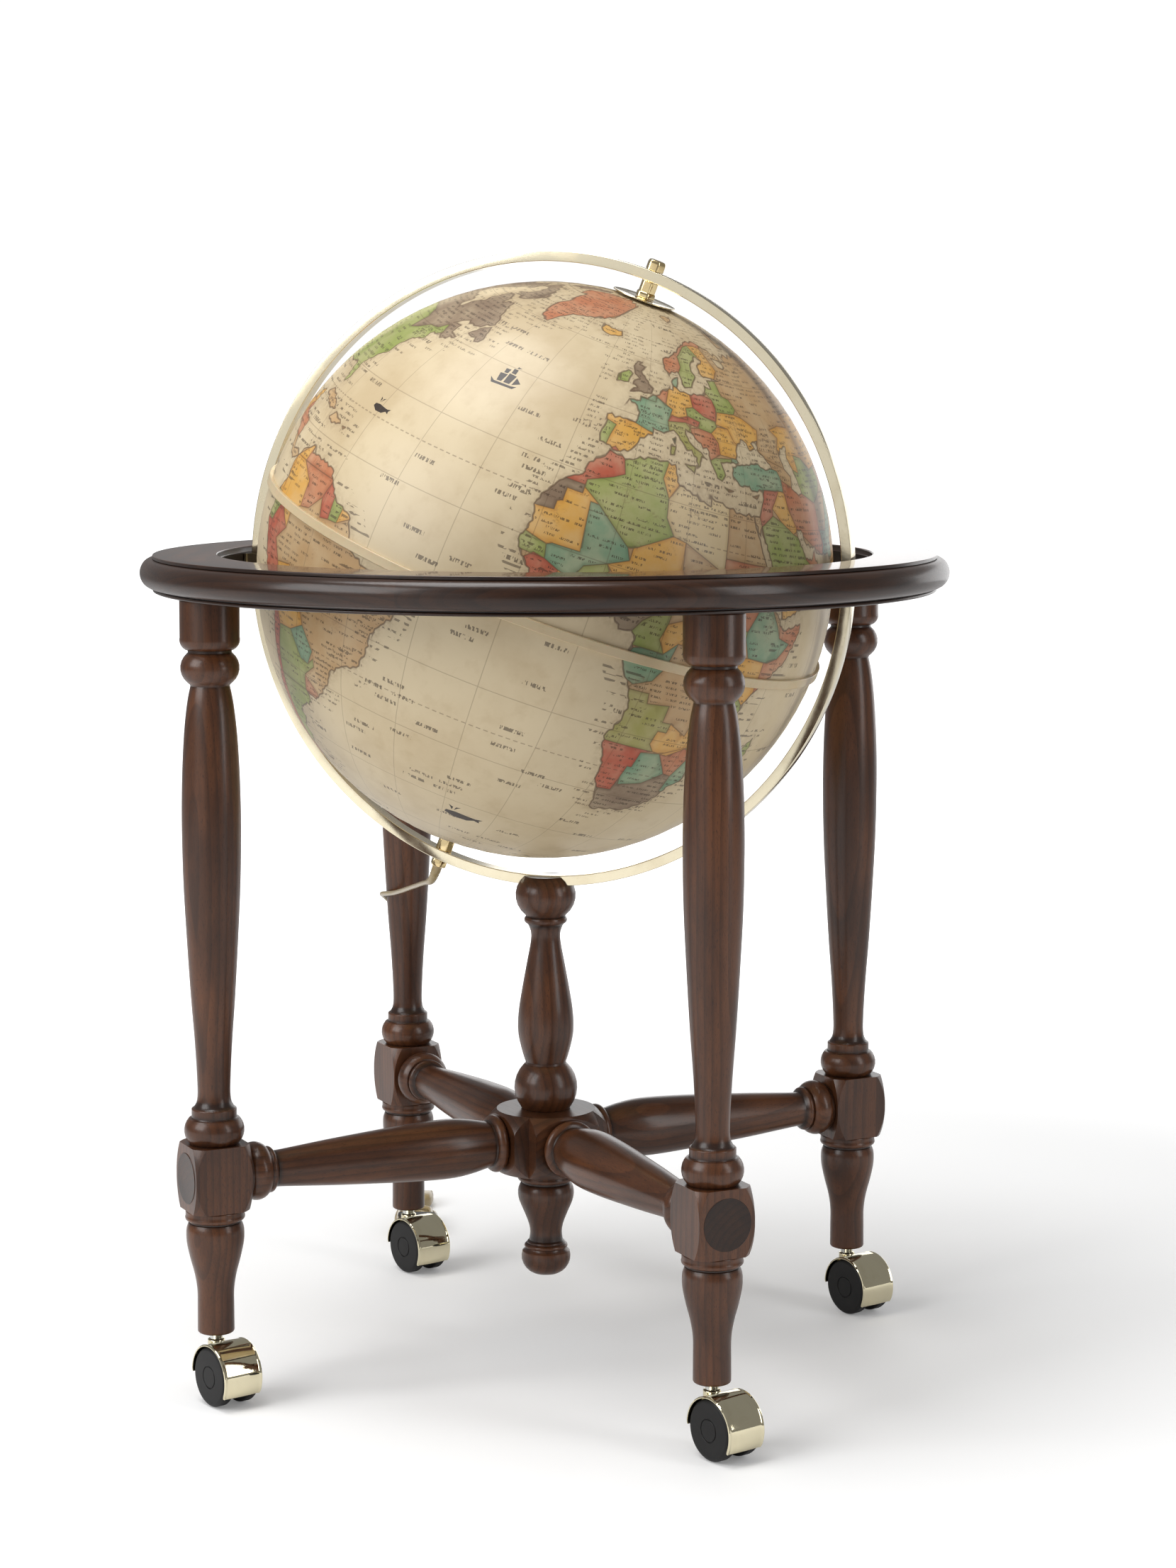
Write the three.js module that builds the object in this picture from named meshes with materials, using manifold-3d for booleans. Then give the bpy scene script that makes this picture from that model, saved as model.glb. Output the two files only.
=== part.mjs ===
// A floor-standing globe: a lit 500 mm sphere in a sliding brass meridian ring, carried by a turned
// wooden stand on four twin-wheel casters. Millimetres, +Z up, origin on the floor under the sphere.
import * as THREE from "three";
import { mergeVertices } from "three/addons/utils/BufferGeometryUtils.js";
import Module from "manifold-3d";

const wasm = await Module();
wasm.setup();

// ---------------------------------------------------------------- driving dimensions
const clear = 0.3; // between pieces that touch
const facets = { globe: 30, ring: 48, hoop: 60, wood: 10, fine: 12, wheel: 16, small: 8, bend: 8 };

const globe = { radius: 250, wall: 2.5, drop: 16, poleHole: 16, seam: 1.2, tilt: 21 };
const band = { proud: 3, half: 4, web: 0.9, depth: 4 };
const bush = { flange: 22, thick: 4 };
const meridian = { gap: 17, radial: 9, axial: 15 }; // gap: from the sphere to the ring
const horizon = { gap: 6, width: 68, top: 709, plate: 3.3, bulge: 24, foot: 4, step: 11 };
const pin = { radius: 3, end: 236 };
const dial = { radius: 28, thick: 1.2 };
const spacer = { across: 13.5, foot: 15.5, footTall: 5 };
const cap = { across: 14.7, tall: 9.5 };
const tube = { radius: 5, bore: 3.2, end: 150 };
const gland = { across: 13, tall: 6.5 };
const boot = { start: 4.4, end: 2.9 };
const holder = { radius: 17, bore: 13.9, long: 48, floor: 5 };
const bulb = { cap: 13.4, radius: 30, long: 104, inCap: 26, wall: 1.2 };
const guide = { tall: 20, half: 12, plate: 1.7, prong: 2, reach: 8 };

const legs = { inset: 26.8, lift: 7.5, tenon: 11, tenonTall: 15, radius: 24.9, taper: 13.7, foot: 15.5 };
const block = { side: 50.3, middle: 191.5, tall: 56 };
const plug = { radius: 21.6, thick: 4.6, sunk: 4 };
const mortise = { radius: 10, deep: 20 };
const hub = { reach: 45, core: 31, half: 27, flat: 43.5, waist: 58 };
const post = { radius: 24.5, spigot: 12, spigotDeep: 12 };
const lampCord = { diameter: 4.5, sides: 8, step: 14 };
const caster = {
  wheel: 25, width: 36, trail: 17, heading: -34, web: 12, stem: 5.5, neck: 3.5, collar: 6.8, seat: 8.3,
};
const hood = { gap: 0.9, wall: 1.5, front: -30, back: 182 };
const axle = { radius: 2.5, inset: 3.5 };
const hank = { start: 92, long: 90, width: 41, low: 1.2, tall: 13.8, tail: 22 };
const tie = { thick: 0.7, wide: 12 };
const mainsPlug = { long: 36, wide: 26, tall: 14, low: 0.2, pin: 2, pinLong: 19, pitch: 19 };
const plugPlan = { neck: 5, throat: 12, slope: 3, chamfer: 6, corner: 4 };
const clip = { s: 28.8, z: 298, back: 12, front: 5.4, half: 4 };

const centreZ = horizon.top - globe.drop;
const horizonFoot = horizon.top - horizon.plate - horizon.bulge - horizon.foot;
const meridianInner = globe.radius + meridian.gap;
const meridianOuter = meridianInner + meridian.radial;
const horizonInner = meridianOuter + horizon.gap;
const legSpread = horizonInner + legs.inset;
const legBottom = 2 * caster.wheel + legs.lift;
const rad = THREE.MathUtils.degToRad;

// ---------------------------------------------------------------- looks
const looks = {
  wood: { color: 0x4a2c1c, roughness: 0.45 },
  brass: { color: 0xc9a24a, metalness: 1, roughness: 0.25 },
  gilt: { color: 0xd8c58c, metalness: 1, roughness: 0.12 },
  steel: { color: 0xb8b8b4, metalness: 1, roughness: 0.3 },
  black: { color: 0x1b1a1a, roughness: 0.55 },
  map: { color: 0xe2cf9d, roughness: 0.35 },
  tan: { color: 0xb89a62, roughness: 0.3 },
  cord: { color: 0xb79a58, roughness: 0.35 },
  white: { color: 0xe9e6dc, roughness: 0.4 },
  glass: { color: 0xf6f2e6, roughness: 0.1 },
};

// ---------------------------------------------------------------- making and cutting solids
const group = new THREE.Group();

function solid(geometry) {
  const bare = geometry.index ? geometry.toNonIndexed() : geometry.clone();
  for (const name of Object.keys(bare.attributes)) if (name !== "position") bare.deleteAttribute(name);
  const merged = mergeVertices(bare, 1e-4);
  const triVerts = new Uint32Array(merged.index.array);
  const made = new wasm.Manifold(
    new wasm.Mesh({ numProp: 3, vertProperties: merged.attributes.position.array, triVerts }),
  );
  if (made.volume() >= 0) return made;
  for (let i = 0; i < triVerts.length; i += 3) {
    [triVerts[i + 1], triVerts[i + 2]] = [triVerts[i + 2], triVerts[i + 1]];
  }
  return new wasm.Manifold(
    new wasm.Mesh({ numProp: 3, vertProperties: merged.attributes.position.array, triVerts }),
  );
}

function add(name, made, look, place = new THREE.Matrix4()) {
  const { vertProperties, numProp, triVerts } = made.getMesh();
  const points = new Float32Array((vertProperties.length / numProp) * 3);
  for (let i = 0; i < points.length / 3; i++) {
    for (let k = 0; k < 3; k++) points[3 * i + k] = vertProperties[numProp * i + k];
  }
  const geometry = new THREE.BufferGeometry();
  geometry.setAttribute("position", new THREE.BufferAttribute(points, 3));
  geometry.setIndex(Array.from(triVerts));
  geometry.applyMatrix4(place);
  geometry.computeVertexNormals();
  const mesh = new THREE.Mesh(geometry, new THREE.MeshStandardMaterial(looks[look]));
  mesh.name = name;
  group.add(mesh);
}

// A profile of [radius, height] turned about +Z; turn = part of a facet that the seam is moved by.
function turned(profile, sides, turn = 0) {
  const points = profile.map(([r, z]) => new THREE.Vector2(r, z));
  const geometry = new THREE.LatheGeometry(points, sides, (turn * 2 * Math.PI) / sides);
  return solid(geometry.rotateX(Math.PI / 2));
}

const rod = (radius, low, high, sides) =>
  turned([[0, low], [radius, low], [radius, high], [0, high]], sides);

// What cuts a hole for something of that radius: its flats stand clear of it.
const bore = (radius, low, high, sides) =>
  rod((radius + clear) / Math.cos(Math.PI / sides), low, high, sides);

const hex = (across, low, high) => rod(across / Math.sqrt(3), low, high, 6);

function box(x0, x1, y0, y1, z0, z1) {
  const made = new THREE.BoxGeometry(x1 - x0, y1 - y0, z1 - z0);
  return solid(made.translate((x0 + x1) / 2, (y0 + y1) / 2, (z0 + z1) / 2));
}

// An outline in X and Z pushed along Y from -half to +half.
function slab(shape, half, curve = 6) {
  const made = new THREE.ExtrudeGeometry(shape, {
    depth: 2 * half, bevelEnabled: false, curveSegments: curve,
  });
  return solid(made.translate(0, 0, -half).rotateX(Math.PI / 2));
}

const spun = (angle, x = 0, y = 0, z = 0) =>
  new THREE.Matrix4().makeTranslation(x, y, z).multiply(new THREE.Matrix4().makeRotationZ(angle));
// Lays something turned about +Z along the direction at that angle in plan, at a height.
const laid = (angle, x, y, z) =>
  spun(angle, x, y, z).multiply(new THREE.Matrix4().makeRotationY(Math.PI / 2));
const tipped = (quarters) => new THREE.Matrix4().makeRotationX((quarters * Math.PI) / 2);
const moved = (made, matrix) => made.transform(matrix.elements.slice());

// The polar frame: +Z runs to the north pole, which leans towards +X.
const polar = new THREE.Matrix4()
  .makeTranslation(0, 0, centreZ)
  .multiply(new THREE.Matrix4().makeRotationY(rad(globe.tilt)));

// ---------------------------------------------------------------- horizon ring
function horizonRing() {
  const { top, plate, foot } = horizon;
  const inner = horizonInner;
  const outer = inner + horizon.width;
  const under = top - plate;
  const over = horizonFoot + foot;
  const rim = outer - horizon.step;
  const middle = (under + over) / 2;
  const half = (under - over) / 2;
  const nose = [50, 0, -50].map((a) => [
    outer - half * 0.7 + half * 0.7 * Math.cos(rad(a)),
    middle + half * Math.sin(rad(a)),
  ]);
  const profile = [
    [inner, horizonFoot], [rim, horizonFoot], [rim, over], [outer - half * 0.7, over],
    ...nose.reverse(), [outer - half * 0.7, under], [rim, under], [rim, top],
    [inner, top], [inner, horizonFoot],
  ];
  let made = turned(profile, facets.ring);
  for (const corner of corners) {
    const hole = bore(legs.tenon, horizonFoot - 1, horizonFoot + legs.tenonTall + clear, facets.wood);
    made = made.subtract(moved(hole, spun(0, corner.x, corner.y)));
  }
  add("horizon_ring", made, "wood");
}

// A brass fork on the ring's inner wall that steadies the meridian ring.
function meridianGuides() {
  const wall = horizonInner - 1.1;
  const back = wall - guide.plate;
  const side = meridian.axial / 2 + 0.6;
  const tip = meridianOuter - guide.reach;
  const low = centreZ - guide.tall / 2;
  const high = centreZ + guide.tall / 2;
  for (const [name, way] of [["meridian_guide_right", 0], ["meridian_guide_left", Math.PI]]) {
    const fork = box(back, wall, -guide.half, guide.half, low, high)
      .add(box(tip, wall, side, side + guide.prong, low, high))
      .add(box(tip, wall, -side - guide.prong, -side, low, high));
    add(name, fork, "brass", spun(way));
  }
}

// ---------------------------------------------------------------- legs and stretchers
const corners = [
  ["front_right", -45], ["back_right", 45], ["back_left", 135], ["front_left", -135],
].map(([name, degrees]) => ({
  name,
  angle: rad(degrees),
  x: legSpread * Math.cos(rad(degrees)),
  y: legSpread * Math.sin(rad(degrees)),
}));

// The turned outline above and below the block; the belly stretches with the leg's length.
function legProfile() {
  const top = horizonFoot - clear;
  const low = block.middle - block.tall / 2;
  const high = block.middle + block.tall / 2;
  const { radius, taper, foot, tenon, tenonTall } = legs;
  const neck = high + 40;
  const shoulder = top - 71;
  const belly = (share) => neck + share * (shoulder - neck);
  return {
    upper: [
      [0, high - 8], [20, high - 8], [radius + 0.3, high + 12], [21, high + 20], [18.6, high + 29],
      [taper, neck], [taper + 3.5, belly(0.2)], [22.6, belly(0.4)], [radius - 0.3, belly(0.65)],
      [22, belly(0.88)], [16, shoulder], [radius - 0.5, top - 57], [18.7, top - 46], [radius, top - 36],
      [radius, top], [tenon, top], [tenon, top + tenonTall], [0, top + tenonTall],
    ],
    lower: [
      [0, legBottom], [foot - 3.5, legBottom], [foot, legBottom + 12], [foot, legBottom + 42],
      [radius - 0.6, low - 21], [22, low - 11], [radius, low - 3], [20, low + 8], [0, low + 8],
    ],
  };
}

function leg(corner) {
  const half = block.side / 2;
  const low = block.middle - block.tall / 2;
  const high = block.middle + block.tall / 2;
  const turn = 0.5;
  const shoulder = turned(
    [[0, low], [half, low], [half + 12, low + 9], [half + 12, high - 9], [half, high], [0, high]],
    facets.fine, turn,
  );
  const { upper, lower } = legProfile();
  let made = box(-half, half, -half, half, low, high).intersect(shoulder);
  made = made.add(turned(upper, facets.wood, turn)).add(turned(lower, facets.wood, turn));
  const deep = mortise.deep + 1;
  const inward = moved(
    bore(mortise.radius, 0, deep, facets.wood), laid(Math.PI, -half + deep - 1, 0, block.middle),
  );
  const outward = moved(
    bore(plug.radius, 0, plug.sunk + 1, facets.fine), laid(0, half - plug.sunk, 0, block.middle),
  );
  const socket = bore(caster.stem, legBottom - 1, legBottom + 38, facets.small);
  made = made.subtract(inward).subtract(outward).subtract(socket);
  add(`leg_${corner.name}`, made, "wood", spun(corner.angle, corner.x, corner.y));
}

function blockPlug(corner) {
  const face = block.side / 2 - plug.sunk + clear;
  const made = rod(plug.radius, 0, plug.thick, facets.fine);
  const place = spun(corner.angle, corner.x, corner.y).multiply(laid(0, face, 0, block.middle));
  add(`block_plug_${corner.name}`, made, "wood", place);
}

function stretcher(corner) {
  const near = hub.reach + clear;
  const far = legSpread - block.side / 2 - clear;
  const profile = [
    [0, near - mortise.deep + clear], [mortise.radius, near - mortise.deep + clear],
    [mortise.radius, near], [22, near], [25, near + 5], [19.5, near + 12], [25.7, near + 53],
    [23, near + 110], [15.4, far - 28], [19.5, far - 22], [24.6, far - 8], [21, far],
    [mortise.radius, far], [mortise.radius, far + mortise.deep - clear], [0, far + mortise.deep - clear],
  ];
  const made = turned(profile, facets.wood, 0.5);
  add(`stretcher_${corner.name}`, made, "wood", laid(corner.angle, 0, 0, block.middle));
}

// ---------------------------------------------------------------- hub, post and drop finial
function hubBlank() {
  const { reach, half, flat, waist } = hub;
  const z = block.middle;
  return box(-reach, reach, -reach, reach, z - half, z + half).intersect(
    turned(
      [[0, z - half], [flat, z - half], [52, z - half + 8], [waist, z], [52, z + half - 8],
        [flat, z + half], [0, z + half]],
      24, 0.5,
    ),
  );
}

function hubPieces() {
  const { reach, core, half } = hub;
  const z = block.middle;
  const big = reach + 20;
  const socket = (angle) =>
    moved(bore(mortise.radius, reach - mortise.deep, big, facets.wood), laid(angle, 0, 0, z));
  let blank = hubBlank();
  for (const quarter of [0, 1, 2, 3]) blank = blank.subtract(socket((quarter * Math.PI) / 2));
  const inset = post.spigotDeep + clear;
  for (const [low, high] of [[z - half - 1, z - half + inset], [z + half - inset, z + half + 1]]) {
    blank = blank.subtract(bore(post.spigot, low, high, facets.wood));
  }
  const tall = [z - half - 1, z + half + 1];
  const place = spun(rad(-45));
  add("hub_core", blank.intersect(box(-big, big, -core, core, ...tall)), "wood", place);
  add("hub_cheek_right", blank.intersect(box(-core, core, core + clear, big, ...tall)), "wood", place);
  add("hub_cheek_left", blank.intersect(box(-core, core, -big, -core - clear, ...tall)), "wood", place);
}

function centrePost() {
  const foot = block.middle + hub.half + clear;
  const ringLow = centreZ - meridianOuter;
  const ball = ringLow - 8;
  const top = ringLow + meridian.radial - 1;
  const lip = Math.sqrt(post.radius ** 2 - (top - ball) ** 2);
  const notch = foot + 41;
  const neck = ball - 38;
  const vase = (share) => notch + share * (neck - notch);
  const profile = [
    [0, foot - post.spigotDeep], [post.spigot, foot - post.spigotDeep], [post.spigot, foot],
    [17, foot], [24.6, foot + 18], [22, foot + 31], [17.7, notch], [22, vase(0.1)],
    [24.6, vase(0.32)], [20, vase(0.64)], [12.8, neck], [18, ball - 22], [18, ball - 16],
    [post.radius, ball], [post.radius * 0.95, ball + 7.6], [lip, top], [0, top],
  ];
  const slot = moved(
    bore(meridianOuter, -meridian.axial / 2 - clear, meridian.axial / 2 + clear, 2 * facets.hoop),
    spun(0, 0, 0, centreZ).multiply(tipped(1)),
  );
  add("centre_post", turned(profile, facets.wood, 0.5).subtract(slot), "wood");
}

function dropFinial() {
  const top = block.middle - hub.half - clear;
  const profile = [
    [0, top - 95], [12, top - 93], [21.4, top - 79], [15.5, top - 72], [18.1, top - 68],
    [14, top - 56], [23, top - 33], [24.7, top - 23], [21.7, top - 12], [24.4, top - 7], [24.4, top],
    [post.spigot, top], [post.spigot, top + post.spigotDeep], [0, top + post.spigotDeep],
  ];
  add("drop_finial", turned(profile, facets.wood, 0.5), "wood");
}

// ---------------------------------------------------------------- casters
function casterParts(corner) {
  const heading = rad(caster.heading);
  const high = caster.wheel;
  const place = spun(heading, corner.x, corner.y);
  const name = (what) => `caster_${what}_${corner.name}`;
  const half = caster.width / 2;
  const inner = caster.wheel / Math.cos(Math.PI / facets.wheel) + hood.gap - 0.4;
  const outer = inner + hood.wall;
  const from = rad(hood.front);
  const to = rad(hood.back);

  const shell = new THREE.Shape();
  shell.absarc(0, 0, outer, from, to, false);
  shell.absarc(0, 0, inner, to, from, true);
  const centre = new THREE.Shape();
  centre.absarc(0, 0, (inner + outer) / 2, from, to, false);
  const stemAt = -caster.trail;
  const boss = rod(caster.web / 2, -4, 20.5, facets.fine);
  const axleBore = moved(bore(axle.radius, -half, half, facets.small), tipped(1));
  let body = slab(shell, half, 9)
    .add(slab(centre, caster.web / 2, 9))
    .add(moved(boss, spun(0, stemAt, 0)))
    .add(moved(rod(5, -caster.web / 2, caster.web / 2, facets.small), tipped(1)));
  const seat = legBottom - caster.seat - high;
  const stemBore = bore(caster.neck, 4, 40, facets.small).add(bore(caster.collar, seat, 40, facets.small));
  body = body.subtract(axleBore).subtract(moved(stemBore, spun(0, stemAt, 0)));
  add(name("hood"), body, "gilt", place.clone().multiply(spun(0, caster.trail, 0, high)));

  const top = legBottom + 38 - clear;
  const low = legBottom - caster.seat + clear;
  const stem = turned(
    [[0, high + 4 + clear], [caster.neck, high + 4 + clear], [caster.neck, low], [caster.collar, low],
      [caster.collar, low + 4], [caster.stem, low + 4], [caster.stem, top], [0, top]],
    facets.small,
  );
  add(name("stem"), stem, "steel", place);

  const across = (offset) =>
    place.clone().multiply(spun(0, caster.trail, offset, high)).multiply(tipped(-1));
  const reach = half - axle.inset;
  add(name("axle"), rod(axle.radius, -reach, reach, facets.small), "steel", across(0));

  const gap = caster.web / 2 + 0.4;
  const thick = half - gap;
  const rim = caster.wheel / Math.cos(Math.PI / facets.wheel);
  const blind = reach - gap + clear;
  const wheel = turned(
    [[0, blind], [axle.radius + clear, blind], [axle.radius + clear, 0], [rim, 0], [rim, thick - 2.6],
      [rim - 2.6, thick], [0, thick]],
    facets.wheel, 0.5,
  );
  add(name("wheel_a"), wheel, "black", across(gap));
  add(name("wheel_b"), wheel, "black", across(-gap).multiply(tipped(2)));
}

// ---------------------------------------------------------------- meridian ring and what turns with it
function meridianRing() {
  const half = meridian.axial / 2;
  let made = turned(
    [[meridianInner, -half], [meridianOuter, -half], [meridianOuter, half], [meridianInner, half],
      [meridianInner, -half]],
    facets.hoop,
  );
  made = moved(made, tipped(1));
  made = made
    .subtract(bore(pin.radius, meridianInner - 2, meridianOuter + 2, facets.wood))
    .subtract(bore(tube.radius, -meridianOuter - 2, -meridianInner + 2, facets.wood));
  add("meridian_ring", made, "brass", polar);
}

function northPin() {
  const disc = globe.radius + 0.5;
  const over = disc + dial.thick;
  const under = meridianInner - 0.6;
  add("north_pin", rod(pin.radius, pin.end, meridianOuter + cap.tall * 0.6, facets.wood), "brass", polar);
  const dialHole = bore(pin.radius, disc - 1, over + 1, facets.wood);
  add("hour_dial", rod(dial.radius, disc, over, 32).subtract(dialHole), "brass", polar);
  const made = hex(spacer.foot, over + clear, over + clear + spacer.footTall)
    .add(hex(spacer.across, over + clear, under))
    .subtract(bore(pin.radius, over, under + 1, facets.wood));
  add("north_spacer", made, "brass", polar);
  const seat = meridianOuter + clear;
  const dome = turned(
    [[0, seat], [20, seat], [20, seat + cap.tall * 0.55], [5.5, seat + cap.tall * 0.92], [0, seat + cap.tall]],
    facets.wood,
  );
  const nut = hex(cap.across, seat, seat + cap.tall)
    .intersect(dome)
    .subtract(bore(pin.radius, seat - 1, seat + cap.tall * 0.6, facets.wood));
  add("north_cap", nut, "brass", polar);
}

function southFittings() {
  const under = -meridianInner + 0.6;
  const near = -globe.radius - 1;
  const end = -meridianOuter - gland.tall * 0.6;
  const made = hex(spacer.across, under, near)
    .add(rod(tube.radius, end, -tube.end, facets.wood))
    .subtract(rod(tube.bore, end - 1, -tube.end + 1, facets.small));
  add("lamp_tube", made, "brass", polar);
  const seat = -meridianOuter - clear;
  const nut = hex(gland.across, seat - gland.tall, seat)
    .subtract(bore(tube.radius, end - clear, seat + 1, facets.wood));
  add("cord_gland", nut, "brass", polar);
}

function lamp() {
  const foot = -tube.end - 12;
  const brim = foot + holder.long;
  const cup = turned(
    [[tube.radius + clear, foot], [holder.radius, foot], [holder.radius, brim], [holder.bore, brim],
      [holder.bore, foot + holder.floor + 12], [tube.radius + clear, foot + holder.floor + 12],
      [tube.radius + clear, foot]],
    facets.fine,
  );
  add("lampholder", cup, "white", polar);
  const low = brim - bulb.inCap;
  const outside = [
    [bulb.cap, low], [bulb.cap, brim + 3], [16, brim + 12], [bulb.radius * 0.93, low + bulb.long * 0.58],
    [bulb.radius, low + bulb.long * 0.72], [bulb.radius * 0.8, low + bulb.long * 0.9],
  ];
  const inside = outside.map(([r, z]) => [r - bulb.wall, z]).reverse();
  const crown = low + bulb.long;
  const top = [[0, crown], [0, crown - 1.5 * bulb.wall]];
  const glass = turned([...outside, ...top, ...inside, outside[0]], facets.fine);
  add("bulb", glass, "glass", polar);
}

// ---------------------------------------------------------------- globe
function hemisphere(name, sign) {
  const steps = 7;
  const from = Math.asin(globe.poleHole / globe.radius);
  const outer = [];
  const inner = [];
  for (let i = 0; i <= steps; i++) {
    const a = from + ((Math.PI / 2 - from) * i) / steps;
    const end = i === steps;
    outer.push([globe.radius * Math.sin(a), end ? globe.seam : globe.radius * Math.cos(a)]);
    const r = globe.radius - globe.wall;
    const atPole = [globe.poleHole, Math.sqrt(r ** 2 - globe.poleHole ** 2)];
    const at = i === 0 ? atPole : [r * Math.sin(a), end ? globe.seam : r * Math.cos(a)];
    inner.push(at);
  }
  const profile = [...outer, ...inner.reverse(), outer[0]].map(([r, z]) => [r, sign * z]);
  add(name, turned(profile, facets.globe), "map", polar);
}

function equatorBand() {
  const out = globe.radius + band.proud;
  const near = globe.radius + clear;
  const deep = globe.radius - band.depth;
  const profile = [
    [deep, -band.web], [near, -band.web], [near, -band.half], [out, -band.half], [out, band.half],
    [near, band.half], [near, band.web], [deep, band.web], [deep, -band.web],
  ];
  add("equator_band", turned(profile, facets.globe), "tan", polar);
}

function poleBush(name, sign, inner) {
  const rim = Math.sqrt((globe.radius - globe.wall) ** 2 - bush.flange ** 2) - 1.8;
  const top = Math.sqrt(globe.radius ** 2 - globe.poleHole ** 2);
  const profile = [
    [inner, rim - bush.thick], [bush.flange, rim - bush.thick], [bush.flange, rim],
    [globe.poleHole - clear, rim], [globe.poleHole - clear, top], [inner, top], [inner, rim - bush.thick],
  ].map(([r, z]) => [r, sign * z]);
  add(name, turned(profile, facets.fine), "tan", polar);
}

// ---------------------------------------------------------------- lamp cord
// Every point is chosen by hand: out of the gland, round the back-left leg and down behind it.
const bootLine = [[-101.7, 0, 428.1], [-103.7, 0.1, 422.9], [-109.3, 6, 415], [-116.5, 15.5, 411.2]];
const cordLine = [
  [-116.7, 15.8, 411.1], [-129, 35, 406.5], [-146, 62, 399.5], [-168, 98, 390.5], [-190, 133, 381.5],
  [-211, 166, 373.5], [-230, 192, 368], [-240.4, 208, 364.5], [-242.6, 221, 360], [-239.6, 231, 352],
  [-233.4, 238.4, 340], [-229.3, 242.8, 326], [-227.7, 245.4, 310], [-227.6, 245.6, 288], [-228.2, 247.8, 260],
  [-229.1, 250.5, 230],
  [-229.8, 253, 195], [-230.8, 256, 160], [-232.2, 260, 120], [-234, 265.5, 85], [-238.6, 271.7, 56],
  [-245.2, 278.9, 33], [-254, 287.6, 15.5], [-261.1, 295.7, 6.6], [-266.5, 304.4, 3.8],
];
const along = { x: -0.3214, y: 0.9469 }; // the way the cord is put away behind the back-left leg
const away = (corner, s, z) =>
  spun(Math.atan2(along.y, along.x), corner.x + s * along.x, corner.y + s * along.y, z);

function taper(points, start, end, sides) {
  const curve = new THREE.CatmullRomCurve3(points.map((p) => new THREE.Vector3(...p)));
  const steps = 5;
  const frames = curve.computeFrenetFrames(steps, false);
  const rings = [];
  for (let i = 0; i <= steps; i++) {
    const centre = curve.getPointAt(i / steps);
    const r = start + ((end - start) * i) / steps;
    rings.push(
      Array.from({ length: sides }, (_, k) => {
        const a = (2 * Math.PI * k) / sides;
        return centre
          .clone()
          .addScaledVector(frames.normals[i], r * Math.cos(a))
          .addScaledVector(frames.binormals[i], r * Math.sin(a));
      }),
    );
  }
  const flat = [];
  const face = (...corners) => corners.forEach((c) => flat.push(c.x, c.y, c.z));
  for (let k = 0; k < sides; k++) {
    const next = (k + 1) % sides;
    for (let i = 0; i < steps; i++) {
      face(rings[i][k], rings[i][next], rings[i + 1][next]);
      face(rings[i][k], rings[i + 1][next], rings[i + 1][k]);
    }
    face(curve.getPointAt(0), rings[0][next], rings[0][k]);
    face(curve.getPointAt(1), rings[steps][k], rings[steps][next]);
  }
  const geometry = new THREE.BufferGeometry();
  geometry.setAttribute("position", new THREE.Float32BufferAttribute(flat, 3));
  return solid(geometry);
}

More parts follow.
